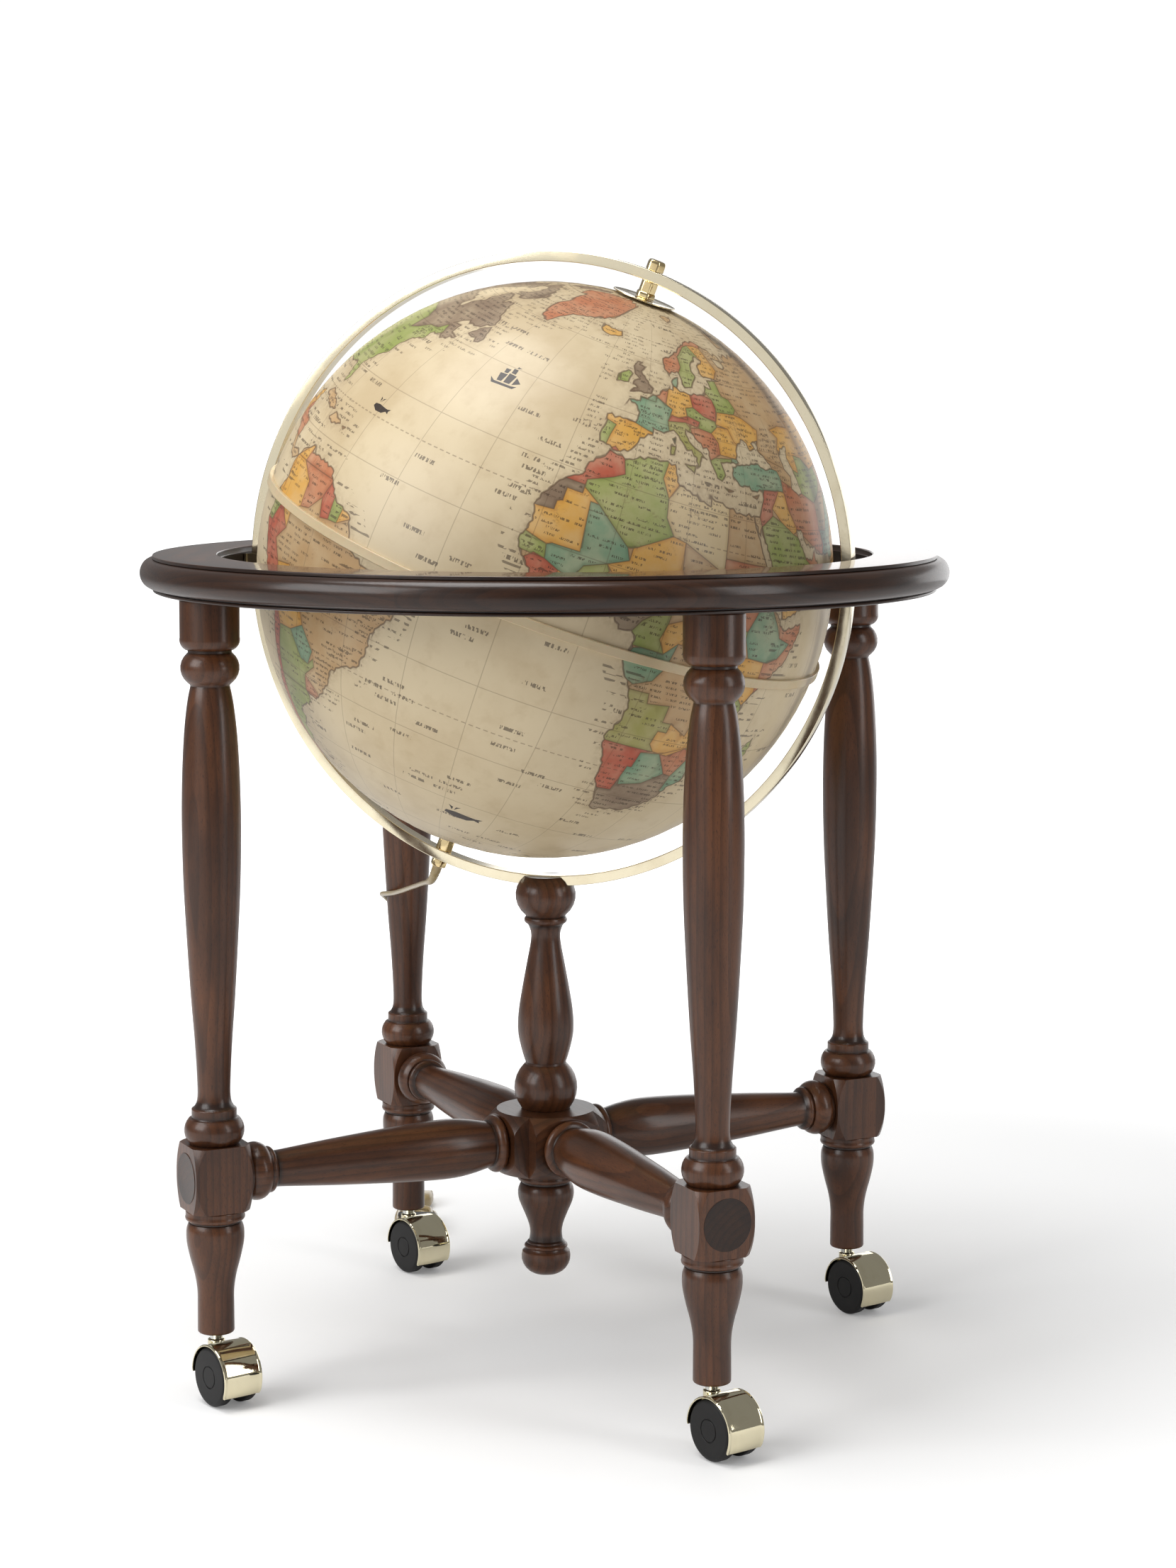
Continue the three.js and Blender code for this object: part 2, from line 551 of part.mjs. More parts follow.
function lampCordParts(corner) {
  add("cord_boot", taper(bootLine, boot.start, boot.end, facets.small), "cord");
  const route = cordLine.map((p) => new THREE.Vector3(...p));
  const curve = new THREE.CatmullRomCurve3(route, false, "centripetal");
  const circle = new THREE.Shape(
    Array.from({ length: lampCord.sides }, (_, k) => {
      const a = (2 * Math.PI * k) / lampCord.sides;
      return new THREE.Vector2(Math.cos(a), Math.sin(a)).multiplyScalar(lampCord.diameter / 2);
    }),
  );
  const steps = Math.ceil(curve.getLength() / lampCord.step);
  const tubeMade = new THREE.ExtrudeGeometry(circle, {
    extrudePath: curve, steps, bevelEnabled: false,
  });
  add("cord_run", solid(tubeMade), "cord");

  const run = (hank.long - hank.width) / 2;
  const r = hank.width / 2;
  const outline = new THREE.Shape();
  outline.absarc(run, 0, r, -Math.PI / 2, Math.PI / 2, false);
  outline.absarc(-run, 0, r, Math.PI / 2, (3 * Math.PI) / 2, false);
  const bundle = new THREE.ExtrudeGeometry(outline, {
    depth: hank.tall, bevelEnabled: false, curveSegments: facets.bend,
  });
  const middle = hank.start + hank.long / 2;
  const waist = tie.wide / 2 + clear;
  const tail = moved(
    rod(lampCord.diameter / 2, hank.long / 2 - 1, hank.long / 2 + hank.tail, facets.small),
    laid(0, 0, 0, mainsPlug.low + mainsPlug.tall / 2 - hank.low),
  );
  add("cord_hank", solid(bundle).add(tail), "cord", away(corner, middle, hank.low));
  const gap = tie.thick + clear;
  const strap = box(-tie.wide / 2, tie.wide / 2, -r - gap, r + gap, -gap, hank.tall + gap)
    .subtract(box(-waist, waist, -r - clear, r + clear, -clear, hank.tall + clear));
  add("cord_tie", strap, "black", away(corner, middle, hank.low));

  const start = hank.start + hank.long + hank.tail + clear;
  const { long, wide, tall } = mainsPlug;
  const side = [
    [0, plugPlan.neck], [plugPlan.throat, wide / 2 - plugPlan.slope],
    [long - plugPlan.chamfer, wide / 2], [long, wide / 2 - plugPlan.corner],
  ];
  const around = [...side.map(([x, y]) => [x, -y]), ...side.reverse()];
  const plan = new THREE.Shape(around.map(([x, y]) => new THREE.Vector2(x, y)));
  const body = solid(new THREE.ExtrudeGeometry(plan, { depth: tall, bevelEnabled: false }));
  const pinAt = (y) => moved(
    rod(mainsPlug.pin, long - 2, long + mainsPlug.pinLong, facets.small), laid(0, 0, y, tall / 2),
  );
  const plugMade = body.add(pinAt(mainsPlug.pitch / 2)).add(pinAt(-mainsPlug.pitch / 2));
  add("mains_plug", plugMade, "cord", away(corner, start, mainsPlug.low));

  const held = bore(lampCord.diameter / 2, -clip.half - 2, clip.half + 2, facets.small);
  const clipMade = box(-clip.back, clip.front, -clip.half, clip.half, -clip.half, clip.half).subtract(held);
  add("cord_clip", clipMade, "white", away(corner, clip.s, clip.z));
}

// ---------------------------------------------------------------- the whole
horizonRing();
meridianGuides();
for (const corner of corners) {
  leg(corner);
  blockPlug(corner);
  stretcher(corner);
  casterParts(corner);
}
hubPieces();
centrePost();
dropFinial();
meridianRing();
northPin();
southFittings();
lamp();
hemisphere("north_hemisphere", 1);
hemisphere("south_hemisphere", -1);
equatorBand();
poleBush("north_bush", 1, pin.radius + clear);
poleBush("south_bush", -1, tube.radius + clear);
lampCordParts(corners[2]);

export default group;
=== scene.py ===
# %% [markdown]
# # A lit floor globe in a turned stand
# The real object is a 50 cm sphere that hangs in a brass ring. The ring slides in a post and in two
# forks, a wide wooden ring lies round it all, and four turned legs carry that ring on casters.
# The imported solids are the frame: they fix every place and joint, and each finer piece made here
# rides on one of their bodies. Lengths in the outlines below are in millimetres, because a maker
# draws them so, and `MM` turns them into Blender's metres.

# %% The frame and its box
import math
import bpy
import bmesh
import numpy as np
from mathutils import Matrix, Vector
from mathutils.geometry import delaunay_2d_cdt
from mathutils.kdtree import KDTree


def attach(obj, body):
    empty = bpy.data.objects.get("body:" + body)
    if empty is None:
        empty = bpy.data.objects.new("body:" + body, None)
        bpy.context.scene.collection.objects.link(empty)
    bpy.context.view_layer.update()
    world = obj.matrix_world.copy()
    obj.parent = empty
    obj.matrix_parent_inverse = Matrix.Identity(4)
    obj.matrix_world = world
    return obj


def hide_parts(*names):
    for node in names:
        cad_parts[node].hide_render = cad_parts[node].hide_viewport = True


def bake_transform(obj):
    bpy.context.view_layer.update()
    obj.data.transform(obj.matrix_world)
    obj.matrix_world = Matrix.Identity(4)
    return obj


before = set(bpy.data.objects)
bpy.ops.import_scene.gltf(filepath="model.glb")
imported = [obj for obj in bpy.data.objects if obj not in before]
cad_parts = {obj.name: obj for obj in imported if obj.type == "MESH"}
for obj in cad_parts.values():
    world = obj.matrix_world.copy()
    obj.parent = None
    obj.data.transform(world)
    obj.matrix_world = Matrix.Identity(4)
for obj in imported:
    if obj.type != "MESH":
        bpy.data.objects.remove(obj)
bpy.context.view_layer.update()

MM = 0.001

# %% [markdown]
# ## The camera
# It stands about three metres off, a little right of the front, and looks slightly down, as a
# product photographer does with a long lens. The lens shift keeps the legs nearly upright.

# %% Camera
camera = bpy.data.objects.new("camera", bpy.data.cameras.new("camera"))
bpy.context.collection.objects.link(camera)
bpy.context.scene.camera = camera
heading, pitch = math.radians(-18.734), math.radians(-4.797)
looks_at = Vector((math.sin(heading) * math.cos(pitch), math.cos(heading) * math.cos(pitch), math.sin(pitch)))
camera.location = (0.9621, -2.7212, 0.8723)
camera.rotation_mode = "QUATERNION"
camera.rotation_quaternion = looks_at.to_track_quat("-Z", "Y")
camera.data.sensor_width = 36
camera.data.lens = 76.3
camera.data.shift_y = -0.0904
camera.data.clip_start, camera.data.clip_end = 0.05, 50
print("camera at", tuple(round(v, 3) for v in camera.location))

# %% [markdown]
# ## Turning on a lathe
# Nearly every wooden and brass piece was made on a lathe, so one helper turns an outline about an
# axis. An outline starts at a point and goes on by moves: a straight cut, an arc with a rise, or a
# smooth sweep through several points. The helper also notes how deep each point sits against its
# neighbours, and the wood's colour is made darker where a point lies in a groove and lighter on a bead.

# %% Outlines
def outline(start, *moves):
    points = [Vector(start)]
    for move in moves:
        if isinstance(move, list):
            points += sweep([points[-1]] + [Vector(p) for p in move])
        elif len(move) == 3:
            points += arc(points[-1], Vector(move[:2]), move[2])
        else:
            points.append(Vector(move))
    return points


def arc(a, b, rise, steps=7):
    """From a to b, bulging away from the axis by rise, or towards it where rise is negative."""
    chord = b - a
    side = Vector((abs(chord.y), -chord.x if chord.y > 0 else chord.x)) / chord.length
    if abs(chord.y) < 1e-9:
        side = Vector((0, 1))
    radius = (chord.length_squared / 4 + rise * rise) / (2 * abs(rise))
    centre = (a + b) / 2 + side * (rise - math.copysign(radius, rise))
    first = math.atan2(*(a - centre).yx)
    turn = math.remainder(math.atan2(*(b - centre).yx) - first, 2 * math.pi)
    return [centre + radius * Vector((math.cos(first + turn * i / steps), math.sin(first + turn * i / steps)))
            for i in range(1, steps)] + [b]


def sweep(keys, step=4.0):
    """Centripetal Catmull-Rom through the keys, in 2-D or 3-D."""
    ends = [2 * keys[0] - keys[1]] + keys + [2 * keys[-1] - keys[-2]]
    made = []
    for p0, p1, p2, p3 in zip(ends, ends[1:], ends[2:], ends[3:]):
        t1 = math.sqrt((p1 - p0).length)
        t2 = t1 + math.sqrt((p2 - p1).length)
        t3 = t2 + math.sqrt((p3 - p2).length)
        count = max(2, math.ceil((p2 - p1).length / step))
        for i in range(1, count + 1):
            t = t1 + (t2 - t1) * i / count
            a1 = p0 * ((t1 - t) / t1) + p1 * (t / t1)
            a2 = p1 * ((t2 - t) / (t2 - t1)) + p2 * ((t - t1) / (t2 - t1))
            a3 = p2 * ((t3 - t) / (t3 - t2)) + p3 * ((t - t2) / (t3 - t2))
            b1 = a1 * ((t2 - t) / t2) + a2 * (t / t2)
            b2 = a2 * ((t3 - t) / (t3 - t1)) + a3 * ((t - t1) / (t3 - t1))
            made.append(b1 * ((t2 - t) / (t2 - t1)) + b2 * ((t - t1) / (t2 - t1)))
    return made


def depth_along(points, reach=7.0):
    """How far each point stands proud of (+) or below (-) its neighbourhood, from -1 to 1."""
    made = []
    for p in points:
        total = weight = 0.0
        for q in points:
            w = max(0.0, 1 - (p - q).length / reach)
            total += w * q.x
            weight += w
        made.append(max(-1.0, min(1.0, (p.x - total / weight) / 1.3)))
    return made


# %% Making a mesh object
def add_mesh(name, verts, faces, place=Matrix(), sharp=32, depths=None):
    mesh = bpy.data.meshes.new(name)
    mesh.from_pydata([tuple(v * MM) for v in verts], [], faces)
    work = bmesh.new()
    work.from_mesh(mesh)
    if depths:
        layer = work.verts.layers.float.new("depth")
        for v, d in zip(work.verts, depths):
            v[layer] = d
    bmesh.ops.remove_doubles(work, verts=work.verts, dist=1e-6)
    bmesh.ops.dissolve_degenerate(work, edges=work.edges, dist=1e-7)
    bmesh.ops.recalc_face_normals(work, faces=work.faces)
    work.to_mesh(mesh)
    work.free()
    mesh.polygons.foreach_set("use_smooth", [True] * len(mesh.polygons))
    mesh.set_sharp_from_angle(angle=math.radians(sharp))
    piece = bpy.data.objects.new(name, mesh)
    piece.matrix_world = place
    bpy.context.collection.objects.link(piece)
    return piece


def grid_faces(rings, around, closed_up=False):
    faces = []
    for i in range(rings if closed_up else rings - 1):
        low, high = i * around, ((i + 1) % rings) * around
        for k in range(around):
            n = (k + 1) % around
            faces.append((low + k, low + n, high + n, high + k))
    return faces


def turn_on_lathe(name, points, steps=72, place=Matrix(), closed=False, sharp=32):
    """Turns an outline of (radius, height) about local Z. Its ends lie on the axis, or it is closed."""
    spin = [(math.cos(2 * math.pi * k / steps), math.sin(2 * math.pi * k / steps)) for k in range(steps)]
    verts = [Vector((p.x * c, p.x * s, p.y)) for p in points for c, s in spin]
    faces = grid_faces(len(points), steps, closed)
    marks = depth_along(points)
    depths = [d for d in marks for _ in spin]
    return add_mesh(name, verts, faces, place, sharp, depths)


def placed(x=0, y=0, z=0, turn=0.0, lay=False):
    """A place in millimetres, turned in plan, and laid down so that local Z points along the turn."""
    made = Matrix.Translation(Vector((x, y, z)) * MM) @ Matrix.Rotation(turn, 4, "Z")
    return made @ Matrix.Rotation(math.pi / 2, 4, "Y") if lay else made


def finish_piece(piece, body, material, replaces=()):
    piece.data.materials.clear()
    piece.data.materials.append(material)
    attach(piece, body)
    if replaces:
        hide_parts(*replaces)
    return piece

# %% [markdown]
# ## Finishes as node groups
# Three effects come back in several finishes: the figure of stained beech, the faint smears of
# polished metal, and the skin of moulded plastic. Each is a node group with named inputs, placed
# in every material that needs it with that material's own values.

# %% A short way to build node trees
def feed(tree, socket, value):
    """Links the value to the socket where it is an output, and sets it as a plain value otherwise."""
    if isinstance(value, bpy.types.NodeSocket):
        tree.links.new(value, socket)
    else:
        socket.default_value = value


def node(tree, kind, settings=None, **inputs):
    made = tree.nodes.new("ShaderNode" + kind)
    for key, value in (settings or {}).items():
        setattr(made, key, value)
    for key, value in inputs.items():
        name = key.replace("_", " ")
        feed(tree, made.inputs[int(key[1:]) if key[0] == "i" and key[1:].isdigit() else name], value)
    return made


def calc(tree, operation, a, b=0.0, c=0.0):
    made = node(tree, "Math", {"operation": operation}, i0=a, i1=b)
    if operation in ("MULTIPLY_ADD", "COMPARE", "SMOOTH_MIN", "SMOOTH_MAX"):
        made.inputs[2].default_value = c
    return made.outputs[0]


def mix(tree, factor, a, b, blend="MIX"):
    made = tree.nodes.new("ShaderNodeMix")
    made.data_type = "RGBA"
    made.blend_type = blend
    for socket, value in ((made.inputs[0], factor), (made.inputs[6], a), (made.inputs[7], b)):
        feed(tree, socket, value)
    return made.outputs[2]


def ramp(tree, value, low, high, smooth=True):
    kind = {"interpolation_type": "SMOOTHSTEP" if smooth else "LINEAR"}
    return node(tree, "MapRange", kind, Value=value, From_Min=low, From_Max=high).outputs[0]


def vector(tree, operation, a, b=(0, 0, 0)):
    return node(tree, "VectorMath", {"operation": operation}, i0=a, i1=b).outputs[0]


def new_group(name, ins, outs):
    tree = bpy.data.node_groups.new(name, "ShaderNodeTree")
    kinds = {"c": "NodeSocketColor", "f": "NodeSocketFloat", "v": "NodeSocketVector"}
    for label, kind, value in ins:
        socket = tree.interface.new_socket(name=label, in_out="INPUT", socket_type=kinds[kind])
        if value is not None:
            socket.default_value = value
    for label, kind in outs:
        tree.interface.new_socket(name=label, in_out="OUTPUT", socket_type=kinds[kind])
    return tree, tree.nodes.new("NodeGroupInput"), tree.nodes.new("NodeGroupOutput")


def place_group(tree, group, **inputs):
    made = tree.nodes.new("ShaderNodeGroup")
    made.node_tree = group
    for key, value in inputs.items():
        feed(tree, made.inputs[key.replace("_", " ")], value)
    return made


def new_material(name, color=None, **plain):
    made = bpy.data.materials.new(name)
    made.use_nodes = True
    tree = made.node_tree
    shader = tree.nodes["Principled BSDF"]
    if color:
        shader.inputs["Base Color"].default_value = color
    for key, value in plain.items():
        shader.inputs[key.replace("_", " ")].default_value = value
    return made, tree, shader


def bump(tree, shader, height, distance):
    made = node(tree, "Bump", Height=height, Distance=distance, Strength=1.0)
    tree.links.new(made.outputs[0], shader.inputs["Normal"])


def dress(tree, shader, finish, lift):
    """Joins a finish's colour, roughness and height to the shader."""
    tree.links.new(finish.outputs["Color"], shader.inputs["Base Color"])
    tree.links.new(finish.outputs["Roughness"], shader.inputs["Roughness"])
    bump(tree, shader, finish.outputs["Height"], lift)


# %% The figure of stained beech
# Along: position with Z down the grain. Depth: -1 in a groove to 1 on a bead.
wood_figure, g_in, g_out = new_group(
    "stained beech",
    [("Along", "v", None), ("Seed", "f", 0.0), ("Depth", "f", 0.0), ("Dark", "c", (0, 0, 0, 1)),
     ("Middle", "c", (0, 0, 0, 1)), ("Light", "c", (0, 0, 0, 1)), ("Ring Width", "f", 0.006),
     ("Fleck", "f", 0.5)],
    [("Color", "c"), ("Roughness", "f"), ("Height", "f")])
t = wood_figure
along, depth = g_in.outputs["Along"], g_in.outputs["Depth"]
seed = g_in.outputs["Seed"]
moved_by = node(t, "CombineXYZ", X=calc(t, "MULTIPLY", seed, 3.1), Y=calc(t, "MULTIPLY", seed, 1.7),
                Z=calc(t, "MULTIPLY", seed, 9.0))
here = vector(t, "ADD", along, moved_by.outputs[0])
bend = node(t, "TexNoise", Vector=vector(t, "MULTIPLY", here, (7, 7, 2.2)), Scale=1.0, Detail=3.0).outputs[0]
flat = vector(t, "MULTIPLY", along, (1, 1, 0.03))
pith = node(t, "CombineXYZ", X=calc(t, "MULTIPLY_ADD", seed, 0.02, 0.035), Y=0.03, Z=0.0)
away = node(t, "VectorMath", {"operation": "DISTANCE"}, i0=flat, i1=pith.outputs[0]).outputs["Value"]
bent = calc(t, "ADD", away, calc(t, "MULTIPLY", bend, 0.02))
rings = calc(t, "FRACT", calc(t, "DIVIDE", bent, g_in.outputs["Ring Width"]))
late = calc(t, "MULTIPLY", ramp(t, rings, 0.35, 0.93), ramp(t, rings, 1.0, 0.94))
fibre = node(t, "TexNoise", Vector=vector(t, "MULTIPLY", here, (900, 900, 26)), Scale=1.0, Detail=3.0,
             Roughness=0.65).outputs[0]
fleck = node(t, "TexNoise", Vector=vector(t, "MULTIPLY", here, (1500, 1500, 240)), Scale=1.0,
             Detail=1.0).outputs[0]
cloud = node(t, "TexNoise", Vector=vector(t, "MULTIPLY", here, (30, 30, 8)), Scale=1.0, Detail=4.0,
             Roughness=0.6).outputs[0]
tone = mix(t, ramp(t, cloud, 0.3, 0.72), g_in.outputs["Middle"], g_in.outputs["Light"])
tone = mix(t, calc(t, "MULTIPLY", late, 0.38), tone, g_in.outputs["Dark"])
tone = mix(t, calc(t, "MULTIPLY", ramp(t, fibre, 0.5, 0.75), 0.32), tone, g_in.outputs["Dark"])
tone = mix(t, calc(t, "MULTIPLY", ramp(t, fleck, 0.6, 0.72), g_in.outputs["Fleck"]), tone, g_in.outputs["Dark"])
# Darker in grooves and lighter on beads, following the Depth input.
tone = mix(t, calc(t, "MULTIPLY", ramp(t, depth, 0.05, -0.9), 0.8), tone, g_in.outputs["Dark"])
tone = mix(t, calc(t, "MULTIPLY", ramp(t, depth, 0.1, 0.9), 0.45), tone, g_in.outputs["Light"])
t.links.new(tone, g_out.inputs["Color"])
t.links.new(calc(t, "MULTIPLY_ADD", fibre, 0.16, 0.24), g_out.inputs["Roughness"])
t.links.new(calc(t, "ADD", fibre, calc(t, "MULTIPLY", fleck, 0.6)), g_out.inputs["Height"])

# %% The smears of polished metal, and the skin of moulded plastic
metal_smears, g_in, g_out = new_group(
    "polished metal smears",
    [("Position", "v", None), ("Scale", "f", 1.0), ("Clean", "f", 0.1), ("Smeared", "f", 0.25),
     ("Bright", "c", (0.8, 0.7, 0.5, 1)), ("Dull", "c", (0.6, 0.5, 0.3, 1))],
    [("Color", "c"), ("Roughness", "f"), ("Height", "f")])
t = metal_smears
here = node(t, "VectorMath", {"operation": "SCALE"}, i0=g_in.outputs["Position"])
t.links.new(g_in.outputs["Scale"], here.inputs["Scale"])
smear = node(t, "TexNoise", Vector=here.outputs[0], Scale=22.0, Detail=5.0, Roughness=0.6,
             Distortion=0.8).outputs[0]
speck = node(t, "TexNoise", Vector=here.outputs[0], Scale=420.0, Detail=2.0).outputs[0]
mask = calc(t, "ADD", calc(t, "MULTIPLY", ramp(t, smear, 0.42, 0.78), 0.7),
            calc(t, "MULTIPLY", ramp(t, speck, 0.6, 0.75), 0.3))
t.links.new(mix(t, mask, g_in.outputs["Bright"], g_in.outputs["Dull"]), g_out.inputs["Color"])
rough = node(t, "MapRange", Value=mask, From_Min=0.0, From_Max=1.0)
t.links.new(g_in.outputs["Clean"], rough.inputs["To Min"])
t.links.new(g_in.outputs["Smeared"], rough.inputs["To Max"])
t.links.new(rough.outputs[0], g_out.inputs["Roughness"])
t.links.new(speck, g_out.inputs["Height"])

plastic_skin, g_in, g_out = new_group(
    "moulded skin",
    [("Position", "v", None), ("Grain Size", "f", 0.0008), ("Base", "c", (0.02, 0.02, 0.02, 1)),
     ("Dusty", "c", (0.08, 0.08, 0.08, 1)), ("Sheen", "f", 0.35)],
    [("Color", "c"), ("Roughness", "f"), ("Height", "f")])
t = plastic_skin
cell = node(t, "VectorMath", {"operation": "SCALE"}, i0=g_in.outputs["Position"])
t.links.new(calc(t, "DIVIDE", 1.0, g_in.outputs["Grain Size"]), cell.inputs["Scale"])
grain = node(t, "TexNoise", Vector=cell.outputs[0], Scale=1.0, Detail=2.0).outputs[0]
dust = node(t, "TexNoise", Vector=g_in.outputs["Position"], Scale=38.0, Detail=6.0, Roughness=0.7).outputs[0]
dusted = calc(t, "MULTIPLY", ramp(t, dust, 0.48, 0.8), 0.6)
t.links.new(mix(t, dusted, g_in.outputs["Base"], g_in.outputs["Dusty"]), g_out.inputs["Color"])
t.links.new(calc(t, "ADD", g_in.outputs["Sheen"], calc(t, "MULTIPLY", dust, 0.2)), g_out.inputs["Roughness"])
t.links.new(grain, g_out.inputs["Height"])
print("node groups:", [g.name for g in bpy.data.node_groups])


# %% Stained and lacquered wood
# The lacquer is a clear coat over the stain; on the flat top of the ring it is rubbed to a gloss.
# There the stain is also made lighter, as a painted reflection.
RING_PLANKS = 8  # lengths of wood that the horizon ring is glued up from
DARK, MIDDLE, LIGHT = (0.012, 0.0055, 0.0035, 1), (0.052, 0.018, 0.0070, 1), (0.118, 0.042, 0.0155, 1)


def wood_material(name, along, coat=0.3, coat_rough=0.2, tint=1.0, ring_width=0.006, fleck=0.5, rough=1.0):
    made, tree, shader = new_material(name, Coat_Weight=coat, Coat_Roughness=coat_rough, Coat_IOR=1.5,
                                      Specular_IOR_Level=0.3)
    seed = node(tree, "ObjectInfo").outputs["Random"]
    deep = node(tree, "Attribute", {"attribute_name": "depth"}).outputs["Fac"]
    shade = lambda c: (c[0] * tint, c[1] * tint, c[2] * tint, 1)
    figure = place_group(tree, wood_figure, Along=along(tree), Seed=seed, Depth=deep, Dark=shade(DARK),
                         Middle=shade(MIDDLE), Light=shade(LIGHT), Ring_Width=ring_width, Fleck=fleck)
    tree.links.new(figure.outputs["Color"], shader.inputs["Base Color"])
    tree.links.new(calc(tree, "MULTIPLY", figure.outputs["Roughness"], rough), shader.inputs["Roughness"])
    bump(tree, shader, figure.outputs["Height"], 0.00006)
    return made


def own_axis(tree):
    return node(tree, "TexCoord").outputs["Object"]


def round_axis(tree):
    """Grain that runs round the ring: local Z is the way round, measured at mid-width."""
    spot = node(tree, "SeparateXYZ", Vector=node(tree, "TexCoord").outputs["Object"])
    x, y, z = spot.outputs
    angle = calc(tree, "ARCTAN2", y, x)
    part = calc(tree, "FLOOR", calc(tree, "MULTIPLY", angle, RING_PLANKS / (2 * math.pi)))
    middle = calc(tree, "MULTIPLY", calc(tree, "ADD", part, 0.5), 2 * math.pi / RING_PLANKS)
    within = calc(tree, "SUBTRACT", angle, middle)
    far = calc(tree, "SQRT", calc(tree, "ADD", calc(tree, "MULTIPLY", x, x), calc(tree, "MULTIPLY", y, y)))
    chord = calc(tree, "MULTIPLY", far, calc(tree, "SINE", within))
    out = calc(tree, "MULTIPLY", far, calc(tree, "COSINE", within))
    moved = calc(tree, "ADD", z, calc(tree, "MULTIPLY", part, 0.37))
    return node(tree, "CombineXYZ", X=out, Y=moved, Z=chord).outputs[0]


turned_wood = wood_material("walnut stain, turned", own_axis)
# The plugs' stain is darkened to 0.42: painted shade, matched to the shaded outer face of a block.
plug_wood_with_painted_shade = wood_material("walnut stain, end grain, painted shade", own_axis, coat=0.2, coat_rough=0.35, tint=0.42, fleck=0.7)
ring_wood = wood_material("walnut stain, bent round", round_axis, coat=0.3, coat_rough=0.16, tint=0.34)
# Stain at 1.1 against the ring's 0.34 makes the top lighter than the nose: a painted reflection.
plate_wood_painted_reflection = wood_material("walnut stain, rubbed top, painted reflection", round_axis, coat=0.8, coat_rough=0.1, tint=1.1,
                           rough=1.25)


# %% Brass, gilt, zinc, plastics
def metal_material(name, bright, dull, clean, smeared, scale=1.0, coat=0.0):
    made, tree, shader = new_material(name, Metallic=1.0, Coat_Weight=coat, Coat_Roughness=0.08)
    spot = node(tree, "TexCoord").outputs["Object"]
    smears = place_group(tree, metal_smears, Position=spot, Scale=scale, Clean=clean, Smeared=smeared,
                         Bright=bright, Dull=dull)
    dress(tree, shader, smears, 0.00001)
    return made


def plastic_material(name, base, dusty, sheen, grain=0.0008, lift=0.00005, **plain):
    made, tree, shader = new_material(name, **plain)
    spot = node(tree, "TexCoord").outputs["Object"]
    skin = place_group(tree, plastic_skin, Position=spot, Grain_Size=grain, Base=base, Dusty=dusty, Sheen=sheen)
    dress(tree, shader, skin, lift)
    return made


brass = metal_material("lacquered pale brass", (0.80, 0.72, 0.53, 1), (0.69, 0.59, 0.40, 1), 0.12, 0.24,
                       coat=0.2)
pin_brass = metal_material("bright turned brass", (0.83, 0.66, 0.36, 1), (0.60, 0.43, 0.20, 1), 0.1, 0.26, 2.0)
gilt = metal_material("pale gilt plating", (0.80, 0.73, 0.52, 1), (0.70, 0.62, 0.42, 1), 0.035, 0.1, 1.5)
zinc = metal_material("zinc plating", (0.72, 0.73, 0.70, 1), (0.50, 0.50, 0.48, 1), 0.16, 0.34, 3.0)
wheel_black = plastic_material("black nylon", (0.006, 0.0055, 0.0055, 1), (0.016, 0.015, 0.015, 1), 0.34,
                               Specular_IOR_Level=0.3)
strap_black = plastic_material("black strap", (0.015, 0.015, 0.015, 1), (0.04, 0.04, 0.04, 1), 0.4)
porcelain = plastic_material("white holder", (0.80, 0.79, 0.75, 1), (0.66, 0.63, 0.56, 1), 0.2)
band_tan = plastic_material("tan band", (0.55, 0.44, 0.27, 1), (0.45, 0.34, 0.19, 1), 0.22,
                            Subsurface_Weight=0.15, Subsurface_Scale=0.004)
cord_gold = plastic_material("gold cord", (0.36, 0.27, 0.13, 1), (0.24, 0.18, 0.09, 1), 0.22, 0.0012,
                             Coat_Weight=0.5, Coat_Roughness=0.12)
bulb_glass, tree, shader = new_material("frosted bulb", Transmission_Weight=0.6)
frost = place_group(tree, plastic_skin, Position=node(tree, "TexCoord").outputs["Object"], Grain_Size=0.0015,
                    Base=(0.92, 0.9, 0.84, 1), Dusty=(0.8, 0.77, 0.7, 1), Sheen=0.3)
dress(tree, shader, frost, 0.00003)
print("finishes:", [m.name for m in bpy.data.materials])

# %% [markdown]
# ## The lamp's cord
# The lamp inside the sphere is fed through the south pivot. A thin gold cord, 4.5 mm across and
# 1.8 m long, leaves a short tapered sleeve, swings round the back of the left rear leg, drops behind
# it to the floor, and the rest is folded into a hank held by a strap, with its plug in line.

# %% Where the cord runs
CORD = {"diameter": 4.5, "length": 1800.0}
sleeve_line = [(-101.7, 0, 428.1), (-103.7, 0.1, 422.9), (-109.3, 6, 415), (-116.5, 15.5, 411.2)]
run_line = [
    (-116.7, 15.8, 411.1), (-129, 35, 406.5), (-146, 62, 399.5), (-168, 98, 390.5), (-190, 133, 381.5),
    (-211, 166, 373.5), (-230, 192, 368), (-240.4, 208, 364.5), (-242.6, 221, 360), (-239.6, 231, 352),
    (-233.4, 238.4, 340), (-229.3, 242.8, 326), (-227.7, 245.4, 310), (-227.6, 245.6, 288),
    (-228.2, 247.8, 260), (-229.1, 250.5, 230), (-229.8, 253, 195), (-230.8, 256, 160), (-232.2, 260, 120),
    (-234, 265.5, 85), (-238.6, 271.7, 56), (-245.2, 278.9, 33), (-254, 287.6, 15.5), (-261.1, 295.7, 6.6),
    (-266.5, 304.4, 3.8)]
HANK = {"near": 112.5, "far": 161.5, "wide": 18.25, "narrow": 13.75, "low": 3.6, "layer": 4.5}
PLUG_Z = 7.2  # height of the plug's middle above the floor
AWAY = Vector((-0.3214, 0.9469))
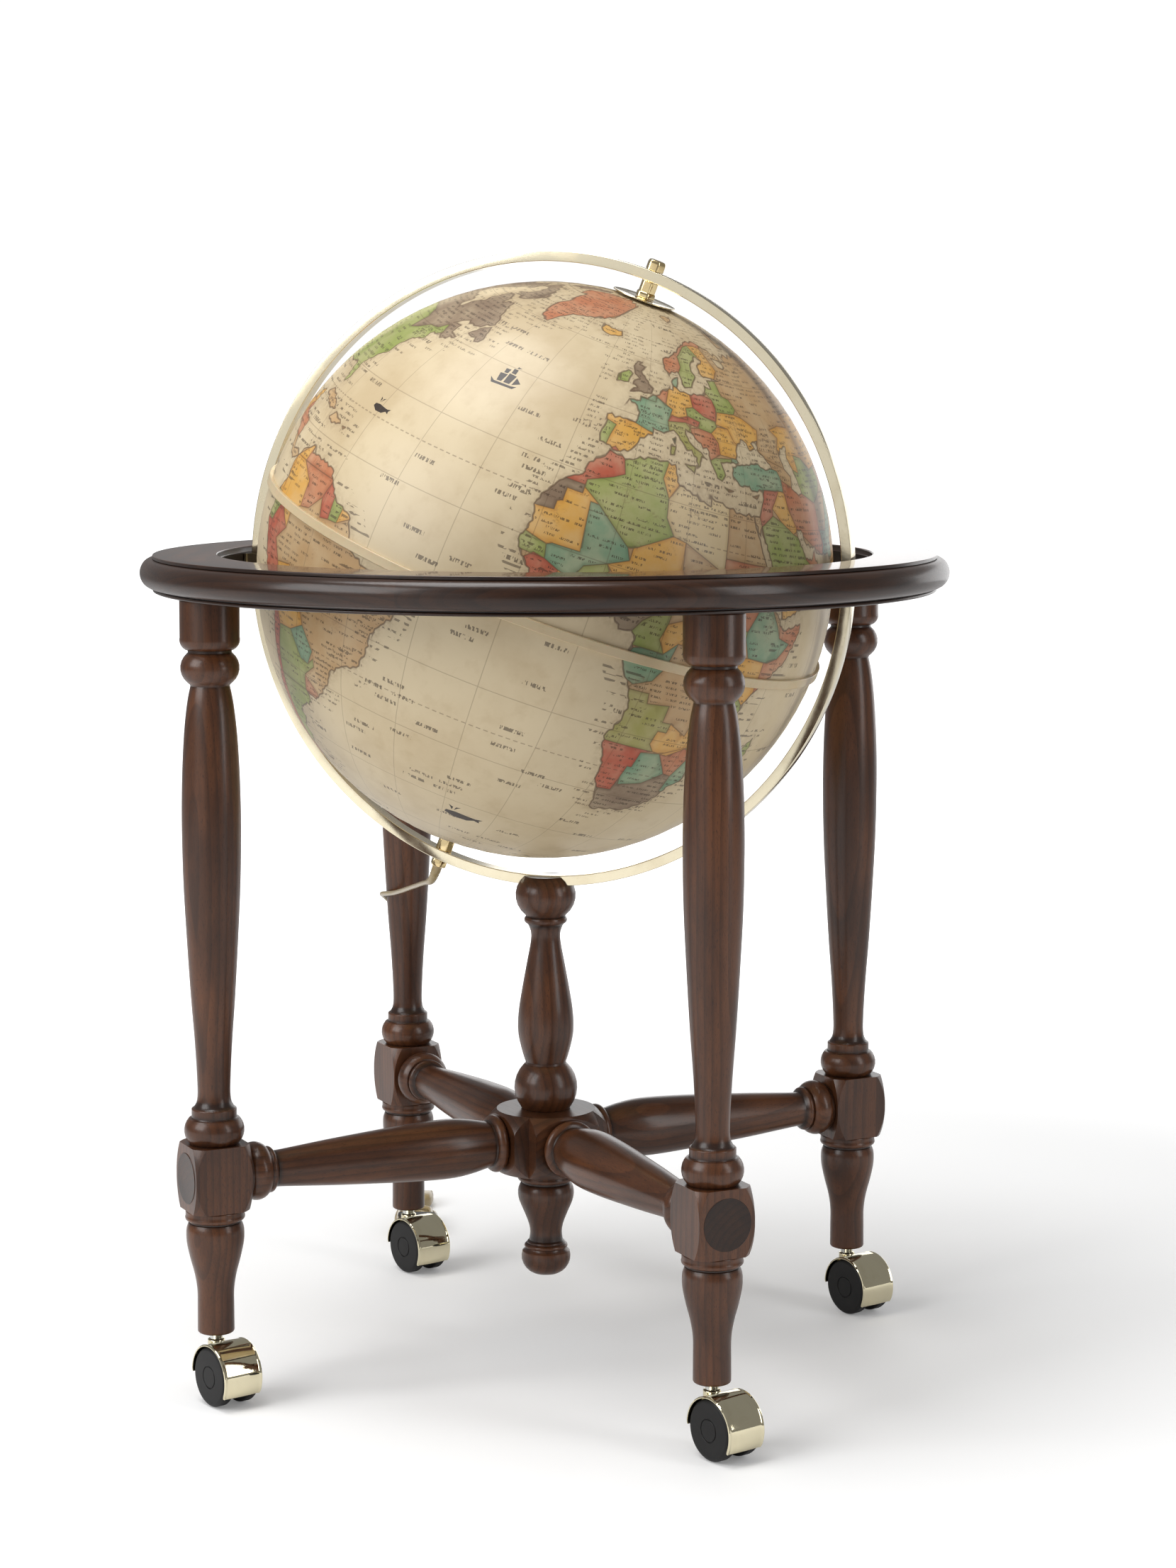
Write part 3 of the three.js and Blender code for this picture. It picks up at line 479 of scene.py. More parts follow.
LEG_AXIS = Vector((-218.35, 218.35))


def behind_leg(along, aside, z):
    """A point measured from the left rear leg's axis, along and across the way the hank lies."""
    return Vector((LEG_AXIS.x + along * AWAY.x - aside * AWAY.y,
                   LEG_AXIS.y + along * AWAY.y + aside * AWAY.x, z))


def half_turn(centre, way, start, end, z, steps=9):
    """Round one end of the hank; its radius goes from start to end."""
    made = []
    for i in range(1, steps):
        a = math.pi * i / steps
        r = start + (end - start) * i / steps
        made.append((centre + way * r * math.sin(a), way * r * math.cos(a), z))
    return made


def straight(way, start, end, z0, z1, hump=0.0, steps=6):
    """One run of the hank; it may drift sideways from start to end and climb from z0 to z1."""
    made = []
    for i in range(steps + 1):
        s = i / steps
        ease = s * s * (3 - 2 * s)
        s_at = HANK["near"] + (HANK["far"] - HANK["near"]) * (s if way > 0 else 1 - s)
        made.append((s_at, way * (start + (end - start) * ease + hump * math.sin(math.pi * s)),
                     z0 + (z1 - z0) * ease + hump * math.sin(math.pi * s)))
    return made


def hank_points():
    wide, narrow, low, layer = HANK["wide"], HANK["narrow"], HANK["low"], HANK["layer"]
    # half width and layer of each turn, from the bottom up
    turns = [(wide, 0), (narrow, 0), (narrow, 1), (wide, 1), (narrow, 2)]
    made, last_r, last_z = [], wide, low
    for r, level in turns:
        z = low + level * layer
        final = level == 2
        made += straight(1, last_r, r, last_z, z)
        made += half_turn(HANK["far"], 1, r, r, z)
        made += straight(-1, r, wide if final else r, z, z)
        out = wide if final else r
        made += half_turn(HANK["near"], -1, out, out, z)
        last_r, last_z = out, z
    made += straight(1, last_r, last_r, last_z, last_z, hump=0.9)
    made += [(171, 17.1, 11.6), (180, 12.2, 9.8), (188, 6.4, 8.3), (196, 1.6, 7.4),
             (202, 0.2, PLUG_Z), (208, 0, PLUG_Z)]
    return made


run_points = [Vector(run_line[0])] + sweep([Vector(p) for p in run_line], 7.0)
coil_points = [behind_leg(*p) for p in hank_points()]
cord_points = run_points + coil_points
real_length = sum((b - a).length for a, b in zip(cord_points, cord_points[1:]))
print("cord points", len(cord_points), "length mm", round(real_length))


# %% Tubes along a line
def capped_faces(rings, around):
    """A grid of faces round the rings, with one flat face on the first ring and one on the last."""
    last = (rings - 1) * around
    return grid_faces(rings, around) + [tuple(range(around)), tuple(range(last, last + around))]


def tube(name, points, radii, around=12):
    """A round tube with a ring at every point; the rings turn as little as they can."""
    verts = []
    side = None
    for i, p in enumerate(points):
        forward = (points[min(i + 1, len(points) - 1)] - points[max(i - 1, 0)]).normalized()
        if side is None:
            side = forward.orthogonal().normalized()
        side = (side - forward * side.dot(forward)).normalized()
        up = forward.cross(side)
        for k in range(around):
            a = 2 * math.pi * k / around
            verts.append(p + radii[i] * (side * math.cos(a) + up * math.sin(a)))
    return add_mesh(name, verts, capped_faces(len(points), around), sharp=60)


cord_piece = tube("lamp_cord", cord_points, [CORD["diameter"] / 2] * len(cord_points))
cord_piece.data.materials.append(cord_gold)
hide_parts("cord_run", "cord_hank")
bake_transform(cord_piece)

sleeve_points = [Vector(sleeve_line[0])] + sweep([Vector(p) for p in sleeve_line], 1.6)
count = len(sleeve_points)
sleeve_radii = [4.4 - 1.5 * i / (count - 1) + (0.25 if i % 3 == 0 and 1 < i < count - 2 else 0)
                for i in range(count)]
sleeve = tube("cord_sleeve", sleeve_points, sleeve_radii, 24)
finish_piece(sleeve, "meridian", cord_gold, ["cord_boot"])

# %% Strap, clip and plug
def lying(along, z=0.0):
    """A place on the hank's line: local X points away from the leg."""
    return placed(*behind_leg(along, 0, z), math.atan2(AWAY.y, AWAY.x))


def rounded_loop(wide, tall, corner, steps=5):
    ring = []
    for sx, sy, first in ((1, 1, 0), (-1, 1, 90), (-1, -1, 180), (1, -1, 270)):
        for i in range(steps + 1):
            a = math.radians(first + 90 * i / steps)
            ring.append(Vector((sx * (wide / 2 - corner) + corner * math.cos(a),
                                sy * (tall / 2 - corner) + corner * math.sin(a))))
    return ring


def make_band(name, wide, tall, corner, thick, long, place, middle_z):
    """A flat strap bent into a loop round local X."""
    loops = [(-long / 2, 0), (-long / 2 + 0.3, thick), (long / 2 - 0.3, thick), (long / 2, 0)]
    rings = []
    for x_at, out in loops:
        rings.append([Vector((x_at, p.x, p.y + middle_z))
                      for p in rounded_loop(wide + 2 * out, tall + 2 * out, corner + out)])
    around = len(rings[0])
    rings += [[Vector((x_at, p.x, p.y + middle_z)) for p in rounded_loop(wide, tall, corner)]
              for x_at in (long / 2, -long / 2)]
    return add_mesh(name, [v for ring in rings for v in ring], grid_faces(len(rings), around, True), place, 40)


strap = make_band("hank_strap", 41.6, 14.4, 5.5, 0.75, 12, lying(137), 8.2)
finish_piece(strap, "stand", strap_black, ["cord_tie"])

plug_levels = [(206, 3.6, 3.4), (207, 4.2, 4), (214, 5.4, 4.8), (217, 9.6, 6.2), (221, 11.6, 6.8),
               (232, 12.6, 7), (238, 12.9, 7), (239.6, 12.2, 6.6), (240, 11.4, 6)]
plug_rings = [[behind_leg(s, p.x, PLUG_Z + p.y) for p in rounded_loop(2 * w, 2 * h, min(w, h) * 0.7)]
              for s, w, h in plug_levels]
plug_body = add_mesh("two_pin_plug", [v for ring in plug_rings for v in ring],
                     capped_faces(len(plug_rings), len(plug_rings[0])), sharp=35)
finish_piece(plug_body, "stand", cord_gold, ["mains_plug"])
for aside in (-9.5, 9.5):
    ends = [behind_leg(s, aside, PLUG_Z) for s in (239, 249, 250, 257.6, 258.6, 259)]
    blade = tube(f"plug_pin_{'left' if aside < 0 else 'right'}", ends, [2.1, 2.1, 2, 2, 1.6, 0.8], 20)
    finish_piece(blade, "stand", pin_brass, ["mains_plug"])

clip_points = [(-12, 2.4), (-6, 2.4), (-4.6, 3.6), (-1, 4), (2.6, 3.2), (4.6, 1.2), (4.6, -1.2), (2.6, -3.2),
               (-1, -4), (-4.6, -3.6), (-6, -2.4), (-12, -2.4)]
clip_levels = ((0.94, -4), (1, -3.4), (1, 3.4), (0.94, 4))  # the size and height of each ring
clip_rings = [[Vector((x * s, y * s, z)) for x, y in clip_points] for s, z in clip_levels]
clip = add_mesh("cord_guide", [v for ring in clip_rings for v in ring],
                capped_faces(len(clip_rings), len(clip_points)),
                placed(*behind_leg(28.8, 0, 298), math.atan2(AWAY.y, AWAY.x)), 40)
finish_piece(clip, "stand", porcelain, ["cord_clip"])

# %% [markdown]
# ## The legs
# Each leg is one turned spindle with a square block left on it for the stretcher. The lathe also
# barrels the block's corners, which gives its faces their rounded ends. A ring of vertices is
# shared out between the flat of a face and the round of a corner, so every crease follows an edge.

# %% Places of the four corners
CORNERS = {"front_right": -45, "back_right": 45, "back_left": 135, "front_left": -135}
SPREAD = 308.8  # from the centre to a leg's axis
SPOTS = {c: (SPREAD * math.cos(math.radians(a)), SPREAD * math.sin(math.radians(a)), math.radians(a))
         for c, a in CORNERS.items()}
BLOCK = {"half": 25.15, "low": 163.5, "high": 219.5, "middle": 191.5}


def squared_ring(radius, half, flat_steps=6, round_steps=5):
    """A circle of that radius with four flats cut on it at half; the count of points never changes."""
    radius = min(radius, half * math.sqrt(2) - 0.25)
    edge = math.acos(half / radius) if radius > half else 0.0
    ring = []
    for quarter in range(4):
        turn = Matrix.Rotation(quarter * math.pi / 2, 2)
        across = min(half, radius)
        for i in range(-flat_steps, flat_steps):
            ring.append(turn @ Vector((across, across * math.tan(edge) * i / flat_steps)))
        for i in range(round_steps):
            a = edge + (math.pi / 2 - 2 * edge) * i / round_steps
            ring.append(turn @ Vector((radius * math.cos(a), radius * math.sin(a))))
    return ring


lower_turning = outline(
    (0, 57.5), (13.4, 57.5), (15.5, 59.6, 0.6),
    [(15.4, 78), (15.5, 94), (17.4, 107), (21.3, 122), (24, 135), (24.4, 142), (24, 147.5), (22.4, 152)],
    (21.6, 152.6), (21.6, 154), (23.2, 154.2), (24.8, 158.4, 1.1), (24.8, 161.5), (23.9, 163.5, 0.4))
upper_turning = outline(
    (20.6, 219.5), (21.6, 221), (21.4, 240.8, 3.7), (19.6, 241.2), (18.9, 242.2),
    (18.9, 248.2), (17.9, 249.6, 0.4), (17.2, 250),
    [(14.8, 254), (13.8, 260), (14, 275), (15.6, 305), (18.6, 345), (21.6, 395), (23.8, 440), (24.6, 478),
     (24.6, 505), (23.6, 540), (21.4, 573), (18.6, 595), (16.4, 605.4)],
    (16.9, 606.6), (19, 608.4), (19, 632.6, 5.6), (18.3, 633.2), (18.3, 635), (20.2, 635.6),
    (24.9, 646, 1.9), (24.95, 676), (24.2, 677.3, 0.2), (0, 677.3))

# %% Legs
LEG_ROUND = [p.normalized() for p in squared_ring(30, BLOCK["half"])]


def block_rings(steps=14):
    """The rings of the block from bottom to top: barrelled corners, flat faces."""
    rings = []
    for i in range(steps + 1):
        s = 2 * i / steps - 1
        z = BLOCK["middle"] + s * (BLOCK["high"] - BLOCK["low"]) / 2
        rings.append([Vector((p.x, p.y, z)) for p in squared_ring(35.4 - 5.4 * s * s, BLOCK["half"])])
    return rings


def make_leg(corner):
    x, y, turn = SPOTS[corner]
    rings = [[Vector((p.x * d.x, p.x * d.y, p.y)) for d in LEG_ROUND] for p in lower_turning]
    marks = depth_along(lower_turning)
    middle = block_rings()
    rings += middle
    marks += [0.0] * len(middle)
    rings += [[Vector((p.x * d.x, p.x * d.y, p.y)) for d in LEG_ROUND] for p in upper_turning]
    marks += depth_along(upper_turning)
    around = len(LEG_ROUND)
    leg = add_mesh(f"turned_leg_{corner}", [v for ring in rings for v in ring], grid_faces(len(rings), around),
                   placed(x, y, 0, turn), 30, [m for m in marks for _ in range(around)])
    return finish_piece(leg, "stand", turned_wood, [f"leg_{corner}"])


legs = [make_leg(c) for c in CORNERS]
print("leg faces", len(legs[0].data.polygons))

# %% [markdown]
# ## Plugs, stretchers and hub
# A round plug covers the bolt in each block's outer face. The stretchers are turned spindles laid
# down on the diagonals. The hub is glued up from three planks into a cross, then barrel-turned.

# %% Plugs and stretchers
plug_outline = outline((0, 25.62), (20.9, 25.62), (21.5, 25.2, 0.15), (21.5, 21.6), (0, 21.6))
stretcher_outline = outline(
    (0, 45.4), (21.5, 45.4), (22.4, 46, 0.2), (22.2, 54.6, 2.7), (20.4, 55.2), (19.8, 56.4),
    [(20.6, 60), (23.2, 72), (25.2, 86), (25.75, 98), (25.4, 115), (24.2, 140), (22.2, 170), (19.6, 205),
     (17.2, 232), (15.5, 252), (15.4, 256)],
    (16.4, 257), (18.6, 258.6), (18.8, 262.6, 0.9), (18.6, 263.4), (20.2, 263.6),
    (22.6, 279.6, 3.2), (21.4, 281), (21.2, 283.2), (0, 283.2))
for corner, (x, y, turn) in SPOTS.items():
    cover = turn_on_lathe(f"bolt_cover_{corner}", plug_outline, 64,
                          placed(x, y, BLOCK["middle"], turn, True))
    finish_piece(cover, "stand", plug_wood_with_painted_shade, [f"block_plug_{corner}"])
    bar = turn_on_lathe(f"turned_stretcher_{corner}", stretcher_outline, 72,
                        placed(0, 0, BLOCK["middle"], turn, True))
    finish_piece(bar, "stand", turned_wood, [f"stretcher_{corner}"])
print("stretcher faces", len(bar.data.polygons))

# %% Hub: a glued cross, barrel-turned
def glued_planks(tree):
    """Grain along local X, with each plank's own figure."""
    x, y, z = node(tree, "SeparateXYZ", Vector=node(tree, "TexCoord").outputs["Object"]).outputs
    plank = calc(tree, "ADD", calc(tree, "GREATER_THAN", y, 0.031), calc(tree, "LESS_THAN", y, -0.031))
    return node(tree, "CombineXYZ", X=calc(tree, "ADD", y, plank), Y=z, Z=x).outputs[0]


hub_wood = wood_material("walnut stain, glued planks", glued_planks, coat=0.3, coat_rough=0.3, tint=0.85)
HUB = {"reach": 45, "plank": 31, "half": 27, "rim": 43.4, "waist": 58}


def hub_ring(radius):
    reach, plank = HUB["reach"], HUB["plank"]
    inner = plank * math.sqrt(2)
    face = min(radius, reach)
    corner = math.hypot(reach, plank)
    rise = plank if radius >= corner else math.sqrt(max(radius**2 - face**2, 0))
    octant = [Vector((face, rise * i / 5)) for i in range(6)]
    a1 = math.atan2(rise, face)
    r2 = min(radius, corner)
    a2 = math.asin(plank / r2) if radius > inner else math.pi / 4
    angles = [a1 + (a2 - a1) * i / 6 for i in range(1, 7)]
    octant += [r2 * Vector((math.cos(a), math.sin(a))) for a in angles]
    end = Vector((plank, plank)) if radius > inner else octant[-1]
    octant += [octant[-1].lerp(end, i / 3) for i in range(1, 4)]
    half = octant + [Vector((p.y, p.x)) for p in reversed(octant)][1:]
    ring = []
    for quarter in range(4):
        turn = Matrix.Rotation(quarter * math.pi / 2, 2)
        ring += [turn @ p for p in half[:-1]]
    return ring


hub_verts = []
hub_levels = 22
for i in range(hub_levels + 1):
    s = 2 * i / hub_levels - 1
    radius = HUB["rim"] + (HUB["waist"] - HUB["rim"]) * (1 - abs(s) ** 2.1)
    hub_verts += [Vector((p.x, p.y, BLOCK["middle"] + s * HUB["half"])) for p in hub_ring(radius)]
hub_around = len(hub_ring(50))
hub_faces = grid_faces(hub_levels + 1, hub_around)
hub_faces += [tuple(range(hub_around))[::-1],
              tuple(range(hub_levels * hub_around, (hub_levels + 1) * hub_around))]
hub = add_mesh("glued_hub", hub_verts, hub_faces, placed(turn=math.radians(-45)), 28)
finish_piece(hub, "stand", hub_wood, ["hub_core", "hub_cheek_left", "hub_cheek_right"])
print("hub faces", len(hub.data.polygons))

# %% [markdown]
# ## Post and drop finial
# The post stands on the hub and holds the brass ring in a slot across its ball. The slot is cut
# with a boolean, because its curved floor must follow the ring. The finial hangs under the hub.

# %% Post with its slot, and finial
RING = {"centre": 693.0, "inner": 267.0, "outer": 276.0, "half": 7.5}
post_outline = outline(
    (0, 218.8), (21.2, 218.8), (22, 220.2), (19.4, 257.4, 6.9), (18, 258.4), (17.7, 260.2),
    [(18.6, 262.5), (21.4, 272), (24, 284), (24.5, 294), (23.6, 307), (20.6, 326), (16.6, 348), (13.6, 364),
     (12.8, 371), (13.2, 376), (15.2, 381.5)],
    (16.2, 382.6), (18.2, 384.2), (18.2, 388.4, 0.6), (17.2, 389.2), (18, 390.6),
    (18.6, 425, 8.2), (0, 425))
post = turn_on_lathe("turned_post", post_outline, 88)
cutter = turn_on_lathe("slot", outline((0, -7.8), (276.3, -7.8), (276.3, 7.8), (0, 7.8)), 240,
                       Matrix.Translation((0, 0, RING["centre"] * MM)) @ Matrix.Rotation(math.pi / 2, 4, "X"))


def cut_with(piece, tool):
    """Takes the tool out of the piece for good, and throws the tool away."""
    cut = piece.modifiers.new("cut", "BOOLEAN")
    cut.object = tool
    cut.solver = "EXACT"
    bpy.context.view_layer.update()
    done = bpy.data.meshes.new_from_object(piece.evaluated_get(bpy.context.evaluated_depsgraph_get()))
    piece.modifiers.clear()
    old, piece.data = piece.data, done
    bpy.data.meshes.remove(old)
    bpy.data.objects.remove(tool)
    done.set_sharp_from_angle(angle=math.radians(30))


cut_with(post, cutter)
finish_piece(post, "stand", turned_wood, ["centre_post"])

finial_outline = outline(
    (0, 69.6), (8, 70), (20.9, 90.6, 5.6), (18.6, 92.6), (18.2, 93.8), (18.2, 97, 0.9), (16.6, 97.8),
    (16, 99.6, 0.3), (14.8, 100.6),
    [(14, 107.6), (15.2, 115), (19.4, 126), (23.6, 136), (24.7, 142), (24.3, 147), (22.4, 151.6)],
    (21.4, 152.4), (21.4, 153.8), (23, 154.2), (24.6, 158.4, 1.2), (24.6, 161.6), (23.8, 164.2, 0.4),
    (0, 164.2))
finial = turn_on_lathe("turned_drop", finial_outline, 80)
finish_piece(finial, "stand", turned_wood, ["drop_finial"])
print("post faces", len(post.data.polygons), "finial faces", len(finial.data.polygons))

# %% [markdown]
# ## The wooden ring
# It is built of bent-round segments, with a thin polished plate on top, a wide half-round nose and
# a small foot step below. One closed outline is turned, and the plate's faces get the glossier
# finish by their height. That finish is also much lighter in colour than the rest of the ring: a painted
# reflection.

# %% Horizon ring
ring_outline = outline(
    (282, 678.2), (282, 703.6), (283.2, 704.4, 0.3), (283.4, 708.2), (284.4, 709, 0.25), (338.2, 709),
    (339.1, 708.2, 0.25), (339.1, 706.2), (338.4, 705.7), (340.6, 705.6),
    [(343.2, 705), (346.6, 702.6), (349, 698.4), (349.9, 693.6), (349, 688.8), (346.6, 684.8), (343.2, 682.4),
     (340.4, 681.8)],
    (337.6, 681.7), (337.4, 680.8), (338.8, 679.8, 0.3), (338.6, 678.2, 0.2), (337.4, 677.7), (282.5, 677.7),
    (282, 678.2))[:-1]
horizon = turn_on_lathe("wooden_ring", ring_outline, 288, closed=True, sharp=26)
finish_piece(horizon, "stand", ring_wood, ["horizon_ring"])
# The top faces take the lighter copy of the stain, a painted reflection on the polished plate.
horizon.data.materials.append(plate_wood_painted_reflection)
for face in horizon.data.polygons:
    face.material_index = int(face.center.z > 0.7087)
print("ring faces", len(horizon.data.polygons))

# %% [markdown]
# ## Brass ring, pins and nuts
# All of these share the sphere's slanted frame, in which local Z is the line between the poles. The
# ring is a flat brass hoop with its edges just broken. The nuts are hexagons with rounded corners,
# pushed through a few levels so that their ends are chamfered.

# %% The slanted frame, hexagons and pins
POLAR = Matrix.Translation((0, 0, RING["centre"] * MM)) @ Matrix.Rotation(math.radians(21), 4, "Y")
ACROSS_RING = Matrix.Translation((0, 0, RING["centre"] * MM)) @ Matrix.Rotation(math.pi / 2, 4, "X")

inner, outer, half = RING["inner"], RING["outer"], RING["half"]
hoop_outline = outline(
    (inner, -half + 0.6), (inner, half - 0.6), (inner + 0.6, half, 0.15), (outer - 0.6, half),
    (outer, half - 0.6, 0.15), (outer, -half + 0.6), (outer - 0.6, -half, 0.15), (inner + 0.6, -half),
    (inner, -half + 0.6, 0.15))[:-1]
hoop = turn_on_lathe("brass_ring", hoop_outline, 360, ACROSS_RING, closed=True, sharp=50)
finish_piece(hoop, "meridian", brass, ["meridian_ring"])


def hexagon(across, soft=0.16, steps=4):
    """A hexagon of that size across its flats, its corners rounded by a share of a side."""
    corners = [Vector((math.cos(a), math.sin(a))) * across / math.sqrt(3)
               for a in (k * math.pi / 3 for k in range(6))]
    ring = []
    for k, c in enumerate(corners):
        a, b = c.lerp(corners[k - 1], soft), c.lerp(corners[(k + 1) % 6], soft)
        for i in range(steps + 1):
            s = i / steps
            ring.append(a * (1 - s) ** 2 + c * 2 * s * (1 - s) + b * s * s)
    return ring


def make_nut(name, levels, node_name, body="meridian"):
    """levels: (across, height along the poles' line), from one end to the other."""
    rings = [[Vector((p.x, p.y, z)) for p in hexagon(size)] for size, z in levels]
    around = len(rings[0])
    faces = grid_faces(len(rings), around)
    faces += [tuple(range(around)), tuple(range((len(rings) - 1) * around, len(rings) * around))]
    nut = add_mesh(name, [v for ring in rings for v in ring], faces, POLAR, 30)
    return finish_piece(nut, body, pin_brass, [node_name])


make_nut("north_distance_nut", [(14.6, 252.1), (15.4, 252.6), (15.4, 256), (14.4, 256.9), (13.4, 257.2),
                                (13.5, 258), (13.5, 266), (12.9, 266.4)], "north_spacer")
make_nut("north_dome_nut", [(13.9, 276.3), (14.6, 276.8), (14.6, 282.2), (14, 284), (12.4, 285.2), (9, 285.7)],
         "north_cap")
make_nut("south_distance_nut", [(13.5, -266.4), (13.6, -265.8), (13.6, -251.6), (13, -251)], "lamp_tube")
make_nut("south_gland_nut", [(11.4, -282.8), (12.8, -282.2), (13, -281.4), (13, -277.2), (12.4, -276.4)],
         "cord_gland")
inner_tube = turn_on_lathe("lamp_tube_inside", outline(
    (3.2, -280), (5, -280), (5, -150.4), (4.6, -150), (3.2, -150), (3.2, -280))[:-1], 24, POLAR, closed=True)
finish_piece(inner_tube, "meridian", pin_brass, ["lamp_tube"])
pivot = turn_on_lathe("north_pivot", outline(
    (0, 236), (2.6, 236), (3, 236.6), (3, 281), (0, 281)), 32, POLAR)
finish_piece(pivot, "meridian", pin_brass, ["north_pin"])

# %% Hour dial, with 24 plain ticks
dial_brass, tree, shader = new_material("engraved dial", Metallic=1.0)
spot = node(tree, "TexCoord").outputs["Object"]
x, y, z = node(tree, "SeparateXYZ", Vector=spot).outputs
smears = place_group(tree, metal_smears, Position=spot, Scale=2.0, Clean=0.09, Smeared=0.24,
                     Bright=(0.80, 0.68, 0.42, 1), Dull=(0.58, 0.45, 0.25, 1))
hours = calc(tree, "FRACT", calc(tree, "MULTIPLY_ADD", calc(tree, "ARCTAN2", y, x), 24 / (2 * math.pi), 0.5))
near = calc(tree, "ABSOLUTE", calc(tree, "SUBTRACT", hours, 0.5))
far = calc(tree, "SQRT", calc(tree, "ADD", calc(tree, "MULTIPLY", x, x), calc(tree, "MULTIPLY", y, y)))
on_rim = calc(tree, "MULTIPLY", calc(tree, "GREATER_THAN", far, 0.0205), calc(tree, "LESS_THAN", far, 0.0255))
tick = calc(tree, "MULTIPLY", calc(tree, "LESS_THAN", near, 0.06), on_rim)
tree.links.new(mix(tree, calc(tree, "MULTIPLY", tick, 0.85), smears.outputs["Color"], (0.05, 0.035, 0.02, 1)),
               shader.inputs["Base Color"])
tree.links.new(smears.outputs["Roughness"], shader.inputs["Roughness"])
bump(tree, shader, calc(tree, "MULTIPLY", tick, -1.0), 0.0001)
dial = turn_on_lathe("hour_disc", outline(
    (3.3, 250.6), (24, 250.5), (27.4, 250.9), (28, 251.3, 0.2), (27.4, 251.75, 0.2), (25.6, 251.5), (12, 251.7),
    (3.3, 251.7), (3.3, 250.6))[:-1], 128, POLAR, closed=True)
finish_piece(dial, "meridian", dial_brass, ["hour_dial"])

# %% Finishes on the solids that keep their own shape
KEPT = {"meridian_guide_right": brass, "meridian_guide_left": brass, "lampholder": porcelain,
        "bulb": bulb_glass, "north_bush": band_tan, "south_bush": band_tan,
        **{f"caster_axle_{c}": zinc for c in CORNERS}}
for name, material in KEPT.items():
    solid = bpy.data.objects[name]
    for slot in solid.material_slots:
        slot.material = material
print("kept solids:", len(KEPT), "brass ring faces", len(hoop.data.polygons))

# %% [markdown]
# ## Casters
# Each caster has a plated hood over two nylon wheels. The hood is a bent sheet with a rolled rim: a
# cross-section is swept round the axle. Its mirror finish picks up the legs and the floor.

# %% Caster parts
CASTER = {"trail": 17, "high": 25, "turn": math.radians(-34), "front": -30, "back": 182, "foot": 57.5}
hood_section = [(-18.2, 25.95), (-18.3, 26.6), (-18, 27.2), (-17.4, 27.5), (-16.7, 27.35), (-16.1, 27.1),
                (-15, 27.15), (-8, 27.4), (0, 27.5)]
hood_section += [(-y, r) for y, r in reversed(hood_section[:-1])]
hood_section += [(17.4, 25.9), (17, 26.1), (15.6, 26), (8, 26.05), (0, 26.1), (-8, 26.05), (-15.6, 26),
                 (-17, 26.1), (-17.4, 25.9)]


def make_hood(corner):
    x, y, _ = SPOTS[corner]
    sweep_steps = 56
    span = CASTER["back"] - CASTER["front"]
    rings = []
    for i in range(sweep_steps + 1):
        a = math.radians(CASTER["front"] + span * i / sweep_steps)
        # the open ends are drawn in a little at the corners
        edge = min(i, sweep_steps - i)
        narrow = {0: 0.965, 1: 0.99}.get(edge, 1.0)
        rings.append([Vector((r * math.cos(a), w * narrow, r * math.sin(a))) for w, r in hood_section])
    around = len(hood_section)
    verts = [v for ring in rings for v in ring]
    faces = grid_faces(len(rings), around)
    faces += [tuple(range(around)), tuple(range((len(rings) - 1) * around, len(rings) * around))]
    place = placed(x, y, 0, CASTER["turn"]) @ placed(CASTER["trail"], 0, CASTER["high"])
    hood = add_mesh(f"plated_hood_{corner}", verts, faces, place, 34)
    return finish_piece(hood, f"caster_{corner}", gilt, [f"caster_hood_{corner}"])


web_section = [(-5.6, 0), (5.6, 0), (5.6, 26.4), (-5.6, 26.4)]
boss_outline = outline((0, 22), (6.6, 22), (6.9, 44), (7.2, 46.4), (7.2, 50.2), (6.6, 51.6, 0.3),
                       (5.7, 52), (0, 52))
stem_outline = outline((0, 51), (5.4, 51), (5.4, 56.6), (5.6, 57.2), (5.6, 60), (0, 60))
wheel_outline = outline(
    (0, 0.2), (8, 0.2), (21.8, 0), (24.4, 1, 0.35), (25, 3.2, 0.2), (25, 7.6), (24.2, 10.2, 0.35),
    (21.6, 11.35, 0.3), (9.9, 11.45), (9.5, 11.2), (9.35, 10.8), (9.0, 10.8), (8.85, 11.2), (8.5, 11.45),
    (0, 11.6))
for corner, (x, y, _) in SPOTS.items():
    make_hood(corner)
    here = placed(x, y, 0, CASTER["turn"])
    axle = here @ placed(CASTER["trail"], 0, CASTER["high"])
    web_verts, steps = [], 30
    for i in range(steps + 1):
        a = math.radians(CASTER["front"] + 6 + (CASTER["back"] - CASTER["front"] - 12) * i / steps)
        web_verts += [Vector(((4 if r == 0 else r) * math.cos(a), w, (4 if r == 0 else r) * math.sin(a)))
                      for w, r in web_section]
    web_faces = grid_faces(steps + 1, 4) + [(0, 1, 2, 3), tuple(range(4 * steps, 4 * steps + 4))]
    web = add_mesh(f"hood_web_{corner}", web_verts, web_faces, axle, 30)
    finish_piece(web, f"caster_{corner}", wheel_black, [f"caster_hood_{corner}"])
    boss = turn_on_lathe(f"plated_boss_{corner}", boss_outline, 48, here)
    finish_piece(boss, f"caster_{corner}", gilt, [f"caster_hood_{corner}"])
    stem = turn_on_lathe(f"zinc_stem_{corner}", stem_outline, 40, here)
    finish_piece(stem, f"caster_{corner}", zinc, [f"caster_stem_{corner}"])
    for side, way in (("a", 1), ("b", -1)):
        across = axle @ placed(0, 6.4 * way, 0) @ Matrix.Rotation(-way * math.pi / 2, 4, "X")
        wheel = turn_on_lathe(f"nylon_wheel_{side}_{corner}", wheel_outline, 72, across)
        finish_piece(wheel, f"wheel_{side}_{corner}", wheel_black, [f"caster_wheel_{side}_{corner}"])
